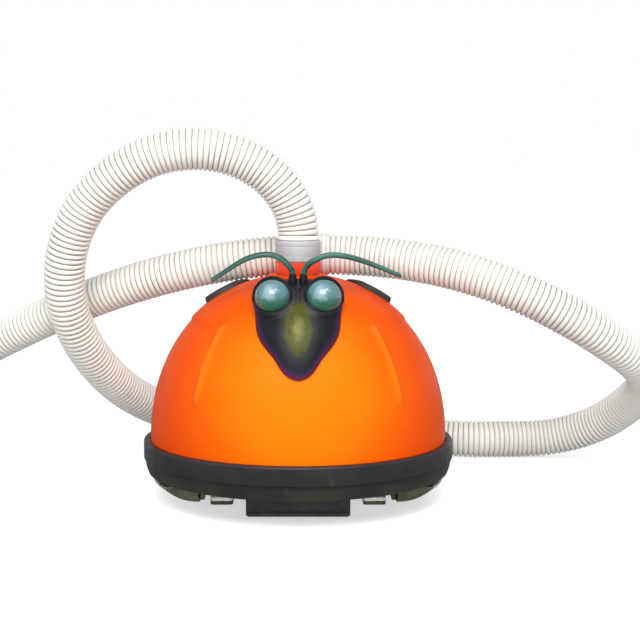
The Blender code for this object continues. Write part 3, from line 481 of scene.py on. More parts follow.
def shoe_layers(tree, place, colour):
    """A white upper half above an olive tread."""
    height = axis_of(tree, place, "Z")
    share = ramp(tree, ragged(tree, place, height, 300.0, 2.0, 0.0003), 0.0044, 0.0050, 0.0, 0.95)
    return mix_colours(tree, share, colour, (0.80, 0.80, 0.77))


def collar_layers(tree, place, colour):
    """Fine turning lines round the collar."""
    lines = ramp(tree, noise(tree, place, 40.0, 2.0, 0.5, (0.02, 0.02, 40.0)), 0.4, 0.7, 0.0, 0.35)
    return mix_colours(tree, lines, colour, (0.36, 0.36, 0.37))


def foam_material():
    made = moulded("closed_cell_foam", (0.80, 0.78, 0.71), (0.88, 0.86, 0.80), (0.75, 0.9), 600.0, 0.0002)
    tree = made.node_tree
    place = tree.nodes["Texture Coordinate"].outputs["Object"]
    cells = add(tree, "ShaderNodeTexVoronoi", Vector=place, Scale=450.0).outputs["Distance"]
    bump = add(tree, "ShaderNodeBump", Height=cells, Distance=0.0004)
    tree.links.new(bump.outputs["Normal"], tree.nodes["Principled BSDF"].inputs["Normal"])
    return made


def make_materials():
    paints = {}
    paints["shell"] = moulded(
        "orange_shell", (0.78, 0.066, 0.0), (0.82, 0.078, 0.0), (0.40, 0.52), 900.0, 0.00006,
        7.0, shell_layers, Specular_IOR_Level=0.10,
    )
    paints["neck"] = moulded(
        "orange_neck", (0.72, 0.036, 0.001), (0.80, 0.046, 0.002), (0.28, 0.4), 700.0, 0.00006,
        20.0, dusty(0.12, (0.9, 0.3, 0.15)), Coat_Weight=0.2,
    )
    paints["bumper"] = moulded(
        "black_rubber", (0.010, 0.010, 0.012), (0.018, 0.017, 0.020), (0.36, 0.55), 520.0, 0.00012,
        16.0, bumper_layers,
    )
    paints["flap"] = moulded(
        "flap_rubber", (0.020, 0.020, 0.020), (0.032, 0.031, 0.030), (0.45, 0.62), 520.0, 0.00015,
        30.0, dusty(0.35, (0.10, 0.10, 0.075)),
    )
    paints["head"] = moulded(
        "black_mask", (0.004, 0.004, 0.006), (0.008, 0.007, 0.011), (0.40, 0.54), 800.0, 0.00008,
        25.0, head_layers, Specular_IOR_Level=0.25,
    )
    paints["eye"] = moulded(
        "pearl_teal", (0.028, 0.130, 0.095), (0.040, 0.160, 0.120), (0.14, 0.22), 300.0, 0.00001,
        60.0, eye_layers, Coat_Weight=0.8, Coat_Roughness=0.09,
    )
    paints["antenna"] = moulded(
        "teal_rubber", (0.036, 0.130, 0.098), (0.055, 0.170, 0.135), (0.34, 0.48), 650.0, 0.0001,
        40.0, antenna_layers,
    )
    paints["pad"] = moulded(
        "pad_rubber", (0.012, 0.011, 0.013), (0.022, 0.020, 0.024), (0.45, 0.6), 600.0, 0.00015,
        30.0, dusty(0.25, (0.05, 0.05, 0.05)),
    )
    paints["hose"] = moulded(
        "cream_hose", (0.84, 0.825, 0.770), (0.91, 0.900, 0.855), (0.30, 0.42), 400.0, 0.00008,
        5.0, hose_layers, Coat_Weight=0.15,
    )
    paints["cuff"] = moulded(
        "white_cuff", (0.88, 0.875, 0.850), (0.93, 0.930, 0.910), (0.28, 0.4), 500.0, 0.00006,
        12.0, dusty(0.12, (0.62, 0.60, 0.52)), Coat_Weight=0.2,
    )
    paints["collar"] = moulded(
        "grey_collar", (0.42, 0.42, 0.425), (0.50, 0.50, 0.505), (0.32, 0.46), 600.0, 0.00006,
        18.0, collar_layers,
    )
    paints["wing"] = moulded(
        "olive_wing", (0.075, 0.080, 0.036), (0.140, 0.148, 0.085), (0.42, 0.6), 420.0, 0.0002,
        35.0, wing_layers,
    )
    paints["pod"] = moulded(
        "white_pod", (0.70, 0.70, 0.68), (0.80, 0.80, 0.78), (0.34, 0.5), 500.0, 0.0001,
        45.0, dusty(0.35, (0.45, 0.44, 0.38)),
    )
    paints["shoe"] = moulded(
        "olive_shoe", (0.050, 0.050, 0.026), (0.085, 0.085, 0.048), (0.55, 0.72), 380.0, 0.0003,
        60.0, shoe_layers,
    )
    paints["chassis"] = moulded(
        "dark_moulding", (0.030, 0.030, 0.028), (0.046, 0.046, 0.041), (0.40, 0.58), 550.0, 0.00015,
        24.0, dusty(0.3, (0.09, 0.09, 0.08)),
    )
    paints["acetal"] = moulded(
        "white_acetal", (0.76, 0.76, 0.72), (0.84, 0.84, 0.80), (0.30, 0.45), 450.0, 0.00006,
        30.0, dusty(0.2, (0.55, 0.53, 0.46)), Subsurface_Weight=0.05, Subsurface_Scale=0.004,
    )
    paints["steel"] = moulded(
        "bright_steel", (0.54, 0.54, 0.55), (0.66, 0.66, 0.66), (0.22, 0.36), 900.0, 0.00003,
        80.0, None, Metallic=1.0,
    )
    paints["foam"] = foam_material()
    return paints


PAINTS = make_materials()


# ---------------------------------------------------------------- shell surface


def shell_axes(rho):
    """Half lengths of the shell's oval; it turns round towards the crown, where the neck sits."""
    mean = (SHELL_X + SHELL_Y) / 2
    oval = smoothstep(0.2, 0.6, rho)
    return mean + (SHELL_X - mean) * oval, mean + (SHELL_Y - mean) * oval


def shell_normal(azimuth, rho):
    a, b = shell_axes(rho)
    power = SHELL_POWER - 1
    rise = max(1 - rho**SHELL_POWER, 0.0) ** (1 / SHELL_POWER)
    across = rho**power
    return Vector(
        (math.cos(azimuth) * across / a, math.sin(azimuth) * across / b, rise**power / SHELL_RISE)
    ).normalized()


def shell_point(azimuth, rho, lift=0.0):
    """A point of the shell, from rho 1 at its edge to 0 at its crown, lifted along the normal."""
    a, b = shell_axes(rho)
    rise = max(1 - rho**SHELL_POWER, 0.0) ** (1 / SHELL_POWER)
    x, y = a * rho * math.cos(azimuth), b * rho * math.sin(azimuth)
    return Vector((x, y, SHELL_BASE + SHELL_RISE * rise)) + shell_normal(azimuth, rho) * lift


def rho_at(height):
    return (1 - ((height - SHELL_BASE) / SHELL_RISE) ** SHELL_POWER) ** (1 / SHELL_POWER)


def from_front(azimuth):
    """Degrees between a direction and the front-to-back line."""
    return math.degrees(math.acos(min(abs(math.sin(azimuth)), 1.0)))


def ridge(azimuth, rho):
    """One along the crest of each of the four ridges, fading to nothing beside and beyond it."""
    height = shell_point(azimuth, rho).z
    aside = math.radians(from_front(azimuth) - 42.0) * rho * SHELL_X / RIDGE_WIDTH
    fade = smoothstep(0.120, 0.140, height) * (1 - smoothstep(0.208, 0.216, height))
    return math.exp(-aside * aside) * fade


def relief(azimuth, rho):
    """Height of the raised crown panel and of the ridges that run down from its corners."""
    edge = 0.2095 + 0.026 * (1 - smoothstep(41.0, 58.0, from_front(azimuth)))
    panel = PANEL_LIFT * smoothstep(edge - 0.002, edge + 0.002, shell_point(azimuth, rho).z)
    return panel + RIDGE_LIFT * ridge(azimuth, rho)


def oval(half_x, half_y, height, sides):
    return [(half_x * c, half_y * s, height) for c, s in circle(1.0, sides)]


def make_shell():
    sides = 288
    turns = [2 * math.pi * k / sides for k in range(sides)]
    edge = 0.0008
    rings = [
        oval(SHELL_X - edge, SHELL_Y - edge, SHELL_FOOT, sides),
        oval(SHELL_X, SHELL_Y, SHELL_FOOT + edge, sides),
    ]
    ridge_highlight_share = [0.0] * (2 * sides)
    climbs = np.radians(np.linspace(0.0, 75.0, 130))
    for climb in climbs:
        rho = math.cos(climb)
        rings.append([shell_point(a, rho, relief(a, rho)) for a in turns])
        ridge_highlight_share += [ridge(a, rho) for a in turns]
    boss = (
        (BOSS_RADIUS + 0.0048, 0.2578),
        (BOSS_RADIUS + 0.0020, 0.2590),
        (BOSS_RADIUS + 0.0006, 0.2604),
        (BOSS_RADIUS, BOSS_TOP - 0.0008),
        (BOSS_RADIUS - 0.0008, BOSS_TOP),
        (NECK_HOLE + 0.0006, BOSS_TOP),
        (NECK_HOLE, BOSS_TOP - 0.0006),
        (NECK_HOLE, BOSS_UNDERSIDE),
    )
    rings += [oval(radius, radius, height, sides) for radius, height in boss]
    for climb in climbs[::-8]:
        rings.append([shell_point(a, math.cos(climb), -SHELL_WALL) for a in turns])
    rings.append(oval(SHELL_X - SHELL_WALL, SHELL_Y - SHELL_WALL, SHELL_FOOT, sides))
    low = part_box("top_shell")[0].z
    shapes = [loft(rings, closed=True)]
    for x in (-1, 1):
        for y in (-1, 1):
            centre = (x * POST_PLACE[0], y * POST_PLACE[1])
            shapes.append(rod("Z", centre, 0.005, low, 0.183, 32))
    shell = build("shell", joined(*shapes), "shell", "chassis", ["top_shell"], 50.0)
    # The ridge attribute holds each ridge's crest, where the shell's colour gets a painted highlight.
    attribute(shell, "ridge", ridge_highlight_share + [0.0] * (len(shell.data.vertices) - len(ridge_highlight_share)))


def make_bumper():
    """The rubber ring: a tall upper band, a step, and a lower band that tucks in."""
    low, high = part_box("bumper_ring")
    reach = high.x - SHELL_X
    profile = (
        (reach, high.z - 0.0018),
        (reach - 0.0016, high.z),
        (0.0005, high.z),
        (0.0005, low.z),
        (0.0028, low.z),
        (0.0054, 0.0415),
        (0.0066, 0.0496),
        (reach, 0.0508),
    )
    rings = [
        oval(SHELL_X + out, SHELL_Y + out, height, 240) for out, height in fillet(profile, 0.0011, 4)
    ]
    build("bumper", loft(rings, closed=True), "bumper", "chassis", ["bumper_ring"], 60.0)


# ---------------------------------------------------------------- head, eyes, antennas, pads


def eye_place(sign):
    """An eye's centre, and the way it looks out from the shell."""
    centre = Vector((sign * EYE_CENTRE[0], *EYE_CENTRE[1:]))
    rho = math.hypot(centre.x / SHELL_X, centre.y / (SHELL_Y + 0.003))
    return centre, shell_normal(math.atan2(centre.y, centre.x), rho)


def head_outline(sides):
    """The mask's closed outline as (half width, height) points, evenly turned about its middle."""
    right = [(half, height, 0.0) for height, half in HEAD_OUTLINE]
    top, bottom = HEAD_OUTLINE[0][0] + 0.0012, HEAD_OUTLINE[-1][0] - 0.0008
    points = [(0.0, top, 0.0)] + right[:-1] + [(0.0, bottom, 0.0)]
    line = smooth_line(points, 0.0004, np.array((1.0, 0.0, 0.0)), np.array((-1.0, 0.0, 0.0)))
    angles = np.arctan2(line[:, 0], line[:, 1] - HEAD_MIDDLE)
    outline = []
    for k in range(sides):
        turn = 2 * math.pi * k / sides
        within = turn if turn <= math.pi else 2 * math.pi - turn
        half = float(np.interp(within, angles, line[:, 0]))
        height = float(np.interp(within, angles, line[:, 1]))
        outline.append((half if turn <= math.pi else -half, height))
    return outline


def mask_lift(place, normal, base, share):
    """How far the mask stands off the shell at a share of the way to its outline."""
    crown = 0.0020 + 0.0088 * (1 - share**2.6)
    down = smoothstep(0.200, 0.160, place.z)
    lift = base + crown * (1 - 0.55 * down)
    for _, sign in SIDES:
        centre, out = eye_place(sign)
        aside = (place - centre) - out * (place - centre).dot(out)
        near = 1 - smoothstep(EYE_RADIUS + 0.0010, EYE_RADIUS + 0.0080, aside.length)
        seat = (centre - place).dot(out) / max(normal.dot(out), 0.3) - 0.0006
        lift += near * (max(seat, lift) - lift)
    return lift


def make_head():
    sides = 200
    outline = head_outline(sides)
    shares = [0.02] + [k / 44 for k in range(1, 43)] + [0.972, 0.984, 0.993, 0.998, 1.0]
    top, bottom, rim, face_highlight = [], [], [], []
    for share in shares:
        upper, lower = [], []
        for half, height in outline:
            w = half * share
            h = HEAD_MIDDLE + (height - HEAD_MIDDLE) * share
            rho = rho_at(h)
            azimuth = -math.pi / 2 + math.asin(w / (shell_axes(rho)[0] * rho))
            base = relief(azimuth, rho) + 0.0016
            normal = shell_normal(azimuth, rho)
            place = shell_point(azimuth, rho)
            edge = math.sqrt(max(1 - smoothstep(0.93, 1.0, share) ** 2, 0.0))
            lift = base + 0.0008 + (mask_lift(place, normal, base, share) - base - 0.0008) * edge
            upper.append(place + normal * lift)
            lower.append(place + normal * base)
            rim.append(share)
            # Strength of the painted face highlight, falling off from the middle of the face.
            across = w / 0.0260
            tall = (h - 0.2060) / 0.0440
            face_highlight.append(max(1 - math.sqrt(across * across + tall * tall), 0.0))
        top.append(upper)
        bottom.append(lower)
    rings = top + bottom[::-1]
    shape = loft(rings)
    extra = len(shape[0]) - len(rim)
    head = build("mask", shape, "head", "chassis", ["head_mask"], 70.0)
    attribute(head, "rim", rim + [1.0] * extra)
    attribute(head, "face_highlight", face_highlight + [0.0] * extra)
    for side, sign in SIDES:
        foot = (sign * ANTENNA_FOOT[0], ANTENNA_FOOT[1])
        profile = ((0.0002, 0.2560), (0.0052, 0.2560), (0.0050, 0.2600), (0.0043, 0.2640), (0.0034, 0.2668))
        profile += ((0.0002, 0.2672),)
        socket = build(f"antenna_socket_{side}", lathe(profile, 32, "Z", foot), "head", "chassis")
        attribute(socket, "rim", [0.0] * len(socket.data.vertices))
        attribute(socket, "face_highlight", [0.0] * len(socket.data.vertices))


def make_eyes():
    for side, sign in SIDES:
        centre, out = eye_place(sign)
        turn = Vector((0, 0, 1)).rotation_difference(out).to_matrix()
        rings = []
        for k in range(40):
            polar = math.radians(118.0) * (1 - k / 39.4)
            ring = circle(EYE_RADIUS * math.sin(polar), 72)
            rings.append([turn @ Vector((x, y, EYE_RADIUS * math.cos(polar))) for x, y in ring])
        eye = build(f"pearl_eye_{side}", loft(rings), "eye", "chassis", [f"eye_{side}"], 60.0)
        eye.location = centre
        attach(eye, "chassis")


def make_eye_rims():
    """The raised black lids that each eye sits in, widest over its outer corner."""
    for side, sign in SIDES:
        centre, _ = eye_place(sign)
        axis = Vector((sign * 0.30, -0.90, 0.33)).normalized()
        up = (Vector((0, 0, 1)) - axis * axis.z).normalized()
        outer = up.cross(axis) * -sign
        if outer.x * sign < 0:
            outer = -outer
        rings = []
        count = 120
        for k in range(count):
            turn = 2 * math.pi * k / count
            way = up * math.cos(turn) + outer * math.sin(turn)
            corner = max(math.cos(turn - 0.8), 0.0)
            size = 0.0017 + 0.0016 * corner + 0.0004 * math.sin(5 * turn) * max(-math.cos(turn), 0.0)
            middle = centre + way * (EYE_RADIUS + 0.0006 + 0.0012 * corner)
            ring = [middle + way * a * size + axis * b * size * 1.3 for a, b in circle(1.0, 20)]
            rings.append(ring)
        lid = build(f"eye_lid_{side}", loft(rings, closed=True), "head", "chassis")
        attribute(lid, "rim", [0.0] * len(lid.data.vertices))
        attribute(lid, "face_highlight", [0.0] * len(lid.data.vertices))


def make_antennas():
    """Flattened strips that sweep out from the head and thin towards a rounded tip."""
    for side, _ in SIDES:
        line = smooth_line(ANTENNAS[side], 0.0012)
        ways = np.gradient(line, axis=0)
        last = len(line) - 1
        rings, underside_shade = [], []
        for k, (place, way) in enumerate(zip(line, ways)):
            way = Vector(way).normalized()
            tall = way.cross(Vector((0.0, 1.0, 0.0))).normalized()
            flat = tall.cross(way).normalized()
            far = k / last
            size = (1.0 - 0.30 * far**2) * math.sqrt(max(1 - smoothstep(0.965, 1.0, far) ** 2, 0.02))
            thin = 1.0 - 0.42 * (1 - smoothstep(0.0, 0.16, far))
            ring = []
            # Painted shade on the underside of the strip.
            underside_shade += [max(-s, 0.0) for c, s in circle(1.0, 28)]
            for c, s in circle(1.0, 28):
                reach = (abs(c) ** 2.6 + abs(s) ** 2.6) ** (-1 / 2.6)
                a, b = 0.0048 * c * reach * size * thin, 0.0033 * s * reach * size
                ring.append(Vector(place) + flat * a + tall * b)
            rings.append(ring)
        strip = build(
            f"antenna_strip_{side}", loft(rings), "antenna", "chassis", [f"antenna_{side}"], 60.0
        )
        attribute(strip, "underside_shade", underside_shade)


def make_pads():
    """Rubber grip pads on the shell's shoulders, with rounded rims."""
    rows, columns = 36, 56
    for side, sign in SIDES:
        top, bottom = [], []
        for i in range(rows + 1):
            upper, lower = [], []
            for j in range(columns + 1):
                a = -1 + 2 * i / rows
                b = -1 + 2 * j / columns
                across = a * math.sqrt(1 - 0.16 * b * b)
                wide = b * math.sqrt(1 - 0.16 * a * a)
                rho = 0.515 + 0.100 * across
                turn = math.radians(19 + 24 * wide)
                azimuth = turn if sign > 0 else math.pi - turn
                base = relief(azimuth, rho) + 0.0004
                edge = max(abs(a), abs(b))
                lift = 0.0055 * math.sqrt(max(1 - smoothstep(0.80, 1.0, edge) ** 2, 0.0))
                lift -= 0.0007 * smoothstep(0.78, 0.70, edge)
                lower.append(shell_point(azimuth, rho, base))
                upper.append(shell_point(azimuth, rho, base + max(lift, 0.0)))
            top.append(upper)
            bottom.append(lower)
        build(f"grip_pad_{side}", sheet_between(bottom, top), "pad", "chassis", [f"shell_pad_{side}"])


def sheet_between(low, high):
    """A closed sheet between two grids of points."""
    rows, columns = len(low), len(low[0])
    vertices = [tuple(p) for row in low for p in row] + [tuple(p) for row in high for p in row]
    shift = rows * columns
    faces = []
    for i in range(rows - 1):
        for j in range(columns - 1):
            quad = (i * columns + j, (i + 1) * columns + j, (i + 1) * columns + j + 1, i * columns + j + 1)
            faces.append(quad)
            faces.append(tuple(shift + k for k in quad))
    edge = list(range(columns))
    edge += [i * columns + columns - 1 for i in range(1, rows)]
    edge += [(rows - 1) * columns + j for j in range(columns - 2, -1, -1)]
    edge += [i * columns for i in range(rows - 2, 0, -1)]
    for here, after in zip(edge, edge[1:] + edge[:1]):
        faces.append((here, after, shift + after, shift + here))
    return vertices, faces


# ---------------------------------------------------------------- neck, swivel, feet, flaps, wings


def make_neck():
    low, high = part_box("turret_neck")
    neck_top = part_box("swivel_collar")[0].z - 0.0003
    skirt, wide, bore, spigot = 0.0250, 0.0264, 0.0185, 0.0210
    profile = (
        (0.0226, low.z),
        (skirt, low.z),
        (skirt, BOSS_TOP + 0.0004),
        (wide, BOSS_TOP + 0.0004),
        (wide, neck_top),
        (spigot, neck_top),
        (spigot, high.z),
        (bore, high.z),
        (bore, 0.2100),
        (0.0226, 0.2065),
    )
    sides = 192
    rings = []
    for radius, height in fillet(profile, 0.0008, 3):
        ring = []
        for k, (c, s) in enumerate(circle(1.0, sides)):
            shown = smoothstep(BOSS_TOP + 0.001, BOSS_TOP + 0.003, height)
            shown *= smoothstep(neck_top - 0.0008, neck_top - 0.0024, height) * (radius > 0.0255)
            flute = 0.0007 * max(math.cos(2 * math.pi * k * 16 / sides), 0.0) ** 6
            ring.append(((radius - shown * flute) * c, (radius - shown * flute) * s, height))
        rings.append(ring)
    build("neck", loft(rings, closed=True), "neck", "turret", ["turret_neck"], 50.0)


def make_swivel():
    low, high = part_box("swivel_collar")
    radius = high.x
    inner = 0.0214
    profile = [(inner, low.z), (radius - 0.0008, low.z), (radius, low.z + 0.0012)]
    for groove in (0.28, 0.74):
        z = low.z + groove * (high.z - low.z)
        profile += [(radius, z - 0.0005), (radius - 0.0004, z), (radius, z + 0.0005)]
    profile += [(radius, high.z - 0.0020), (radius - 0.0007, high.z - 0.0006), (radius - 0.0020, high.z)]
    profile += [(inner, high.z)]
    build("collar", lathe(fillet(profile, 0.0004, 2), 128), "collar", "swivel", ["swivel_collar"])
    low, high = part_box("hose_cuff")
    profile = ((0.0195, low.z), (high.x, low.z), (high.x, high.z), (0.0195, high.z))
    build("cuff_lip", lathe(fillet(profile, 0.0018, 6), 128), "cuff", "chassis", ["hose_cuff"])


def make_feet():
    for side, sign in SIDES:
        body = f"foot_{side}"
        low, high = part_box(f"pod_{side}")
        outline = (
            (low.y, low.z),
            (high.y, low.z),
            (high.y, 0.0255),
            (0.021, high.z),
            (-0.021, high.z),
            (low.y, 0.0255),
        )
        pod = build(
            f"white_pod_{side}", prism(fillet(outline, 0.004, 5), "X", low.x, high.x), "pod", body,
            [f"pod_{side}"],
        )
        frame_low, frame_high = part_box(f"rocker_frame_{side}")
        slot = block(
            (frame_low.x - 0.0003, frame_high.x + 0.0003), (-0.0273, 0.0273), (frame_low.z - 0.0003, 0.040)
        )
        trim(pod, slot, f"pod_slot_{side}")
        soften(pod, 0.0009)
        low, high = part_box(f"shoe_{side}")
        outline = fillet(
            ((low.x, low.y), (high.x, low.y), (high.x, high.y), (low.x, high.y)), 0.005, 5
        )
        shoe = build(
            f"rubber_shoe_{side}", prism(outline, "Z", low.z, high.z), "shoe", body, [f"shoe_{side}"]
        )
        for number, y in enumerate((-0.032, -0.024, -0.016, 0.016, 0.024, 0.032)):
            tread = block((low.x - 0.002, high.x + 0.002), (y - 0.0012, y + 0.0012), (-0.001, 0.0025))
            trim(shoe, tread, f"shoe_tread_{side}_{number}")
        soften(shoe, 0.0007)


def make_flaps():
    for name, way in (("front", -1), ("rear", 1)):
        low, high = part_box(f"{name}_flap")
        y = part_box(f"{name}_flap_pin")
        y = (y[0].y + y[1].y) / 2
        hinge = high.z - 0.004
        thick = 0.0015
        profile = (
            (y - thick, hinge),
            (y - thick, low.z + 0.0006),
            (y + thick, low.z + 0.0006),
            (y + thick, hinge),
        )
        plate = prism(fillet(profile, 0.0008, 3), "X", low.x, high.x)
        near, far = sorted((y + way * 0.0008, y + way * 0.0035))
        corners = ((near, low.z), (far, low.z), (far, 0.0100), (near, 0.0100))
        lip = prism(fillet(corners, 0.0008, 3), "X", low.x + 0.002, high.x - 0.002)
        shapes = [plate, lip]
        for share in (-0.75, -0.25, 0.25, 0.75):
            x = share * high.x
            shapes.append(block((x - 0.0006, x + 0.0006), (y - 0.0024, y + 0.0024), (0.0105, hinge - 0.004)))
        barrels = 5
        step = (high.x - low.x) / barrels
        for k in range(barrels):
            start = low.x + k * step
            shapes.append(rod("X", (y, hinge), 0.0040, start + 0.0003, start + step - 0.0003, 40, 0.0005))
        build(f"{name}_rubber_flap", joined(*shapes), "flap", f"flap_{name}", [f"{name}_flap"])


def wing_grid(sign, lift, half_y, steps_x=36, steps_y=64):
    """A shallow scoop whose outer edge follows the bumper."""
    inner, reach_x, reach_y = 0.1120, 0.180, 0.160
    points = []
    for i in range(steps_x + 1):
        a = i / steps_x
        row = []
        for j in range(steps_y + 1):
            b = -1 + 2 * j / steps_y
            y = b * half_y
            outer = reach_x * math.sqrt(1 - (y / reach_y) ** 2) - 0.0120
            x = inner + a * (outer - inner)
            z = 0.0030 + 0.0230 * min(a**2.4 + abs(b) ** 5.0, 1.0)
            row.append((sign * x, y, z + lift))
        points.append(row)
    return points


def make_wings():
    for side, sign in SIDES:
        low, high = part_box(f"wing_{side}")
        pin_low, pin_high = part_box(f"wing_pin_{side}")
        hinge_x, hinge_z = (pin_low.x + pin_high.x) / 2, (pin_low.z + pin_high.z) / 2
        scoop = sheet_between(wing_grid(sign, 0.0, high.y), wing_grid(sign, 0.0035, high.y))
        near, far = sorted((sign * 0.1075, sign * 0.1130))
        half = 0.030
        corners = ((near, -half), (far, -half), (far, half), (near, half))
        shapes = [scoop, prism(fillet(corners, 0.001, 3), "Z", 0.0032, hinge_z)]
        step = 2 * half / 3
        for k in range(3):
            start = -half + k * step
            shapes.append(rod("Y", (hinge_x, hinge_z), 0.0042, start + 0.0003, start + step - 0.0003))
        wing = build(f"scoop_wing_{side}", joined(*shapes), "wing", f"{side}_wing", [f"wing_{side}"])
        soften(wing, 0.0008, 2)


# ---------------------------------------------------------------- hose


def coil_line():
    """Down through the coil's turns, column by column in both layers, and out along the tail."""
    cx, cy = COIL_CENTRE
    angles = np.arange(COIL_STOPS[0][0], COIL_STOPS[-1][0], 1.5)
    points = []
    for angle in angles:
        after = next(k for k, stop in enumerate(COIL_STOPS) if stop[0] > angle)
        here, there = COIL_STOPS[after - 1], COIL_STOPS[after]
        share = smoothstep(here[0], there[0], angle)
        radius = COIL_RADII[here[1]] + (COIL_RADII[there[1]] - COIL_RADII[here[1]]) * share
        height = HOSE_RADIUS * (1 + 2 * (here[2] + (there[2] - here[2]) * share))
        turn = math.radians(angle)
        points.append((cx + radius * math.cos(turn), cy + radius * math.sin(turn), height))
    tail = [(cx + x, cy - COIL_RADII[-1], HOSE_RADIUS) for x in np.arange(0.0, TAIL_END, 0.006)]
    return points + tail + [(cx + TAIL_END, cy - COIL_RADII[-1], HOSE_RADIUS)]


def hose_line():
    """The whole hose's centreline and the length at each of its points."""
    turns = coil_line()
    heading = np.array((-math.sin(LANDING_ANGLE), math.cos(LANDING_ANGLE), 0.0))
    free = smooth_line([*ROUTE, turns[0]], 0.002, np.array((0.0, 0.0, 1.0)), heading)
    line = np.concatenate((free, np.array(turns[1:])))
    line[:, 2] = np.maximum(line[:, 2], HOSE_RADIUS)
    lengths = np.concatenate(([0.0], np.cumsum(np.linalg.norm(np.diff(line, axis=0), axis=1))))
    return line, lengths


def steady_sides(line):
    """A sideways direction at each point of the line that never twists about it."""
    ways = np.gradient(line, axis=0)
    ways /= np.linalg.norm(ways, axis=1)[:, None]
    aside = np.cross(ways[0], (0.0, 1.0, 0.0))
    sides = []
    for way in ways:
        aside = aside - way * np.dot(aside, way)
        aside /= np.linalg.norm(aside)
        sides.append(aside)
    return ways, np.array(sides)


class Sweep:
    """Rings about the hose's centreline."""

    def __init__(self, line, lengths):
        self.line = line
        self.lengths = lengths
        self.ways, self.sides = steady_sides(line)

    def at(self, values, place):
        return np.array([np.interp(place, self.lengths, values[:, k]) for k in range(3)])

    def ring(self, place, radius, count):
        centre = self.at(self.line, place)
        way = self.at(self.ways, place)
        way /= np.linalg.norm(way)
        side = self.at(self.sides, place)
        side -= way * np.dot(side, way)
        side /= np.linalg.norm(side)
        up = np.cross(way, side)
        turns = np.arange(count) * 2 * math.pi / count
        return centre, centre + radius * (np.cos(turns)[:, None] * side + np.sin(turns)[:, None] * up)


def ribbed_section(sweep, name, low, high, fine):
    """One section of corrugated hose; returns the piece and its ring centres."""
    ribs = int(round((high - low) / RIB_PITCH))
    pitch = (high - low) / ribs
    stations = RIB_STATIONS if fine else RIB_STATIONS[::2] + RIB_STATIONS[-1:]
    count = 44 if fine else 28
    places = [(low + (k + share) * pitch, radius) for k in range(ribs) for share, radius in stations]
    places.append((high, RIB_STATIONS[0][1]))
    path, rings, groove = [], [], []
    shallow, deep = HOSE_RADIUS, RIB_STATIONS[0][1]
    for place, radius in places:
        centre, ring = sweep.ring(place, radius, count)
        path.append(centre)
        rings.append(ring)
        # How deep in a groove each ring lies, which sets the painted groove shade.
        groove += [(shallow - radius) / (shallow - deep)] * count
    section = build(name, loft(rings), "hose", "chassis", (), 180.0)
    attribute(section, "groove", groove)
    return section, path


def sleeve(sweep, name, middle, radius):
    """The smooth cuff over the joint of two sections, with a lip at each end."""
    half = SLEEVE_HALF
    bore = 0.0205
    stations = (
        (-half, bore),
        (-half, radius - 0.0004),
        (-half + 0.0010, radius + 0.0004),
        (-half + 0.0040, radius + 0.0004),
        (-half + 0.0052, radius - 0.0006),
        (0.0, radius - 0.0009),
        (half - 0.0052, radius - 0.0006),
        (half - 0.0040, radius + 0.0004),
        (half - 0.0010, radius + 0.0004),
        (half, radius - 0.0004),
        (half, bore),
    )
    rings = [sweep.ring(middle + out, size, 72)[1] for out, size in fillet(stations, 0.0006, 2)]
    cuff = build(name, loft(rings, closed=True), "cuff", "chassis", (), 50.0)
    return cuff


def make_fitting():
    """The tapered fitting on the hose's far end."""
    low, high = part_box("suction_cone")
    middle = ((low.y + high.y) / 2, (low.z + high.z) / 2)
    start, end = low.x, high.x
    wide = (high.y - low.y) / 2
    profile = [(0.0170, start + 0.030), (0.0002, start + 0.030), (0.0002, start), (wide - 0.001, start)]
    profile += [(wide, start + 0.001), (wide, start + 0.017), (wide - 0.0020, start + 0.022)]
    for k in range(5):
        share = (k + 0.5) / 5
        x = start + 0.022 + 0.054 * share
        radius = wide - 0.0020 - 0.0055 * share
        profile += [(radius + 0.0002, x - 0.001), (radius - 0.0004, x), (radius, x + 0.001)]
    profile += [(0.0222, end - 0.001), (0.0212, end), (0.0176, end), (0.0170, end - 0.0006)]
    cone = build(
        "tapered_fitting", lathe(profile, 96, "X", middle), "collar", "chassis", ["suction_cone"]
    )
    return cone


def make_hose():
    line, lengths = hose_line()
    sweep = Sweep(line, lengths)
    fitting = make_fitting()
    joints = [SECTION_LENGTH * k - COLLAR_TUCK for k in range(1, 10)]
    ends = [0.0] + joints + [lengths[-1]]
    stood_for = {1: ["hose_section_1", "hose_joint_1"], 2: ["hose_section_2", "hose_joint_2"]}
    stood_for |= {3: ["hose_section_3"], 4: ["hose_coil"], 10: ["hose_tail"]}
    for number, (low, high) in enumerate(zip(ends, ends[1:]), start=1):
        section, path = ribbed_section(sweep, f"ribbed_hose_{number}", low, high, number <= 3)
        if number < 10:
            over = sleeve(sweep, f"hose_sleeve_{number}", high, 0.0252 if number < 3 else 0.0242)
        else:
            over = fitting
        if number in stood_for:
            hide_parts(*stood_for[number])


# ---------------------------------------------------------------- pieces that keep their CAD shape


CAD_PAINTS = {
    "base_pan": "chassis",
    "turbine_housing": "chassis",
    "steering_gearbox": "chassis",
    "turbine_rotor": "chassis",
    "rocker_frame": "chassis",
    "float": "foam",
    "pinion": "acetal",
    "gear": "acetal",
    "bush": "acetal",
    "eccentric": "acetal",
    "shaft": "steel",
    "screw": "steel",
    "pin": "steel",
}


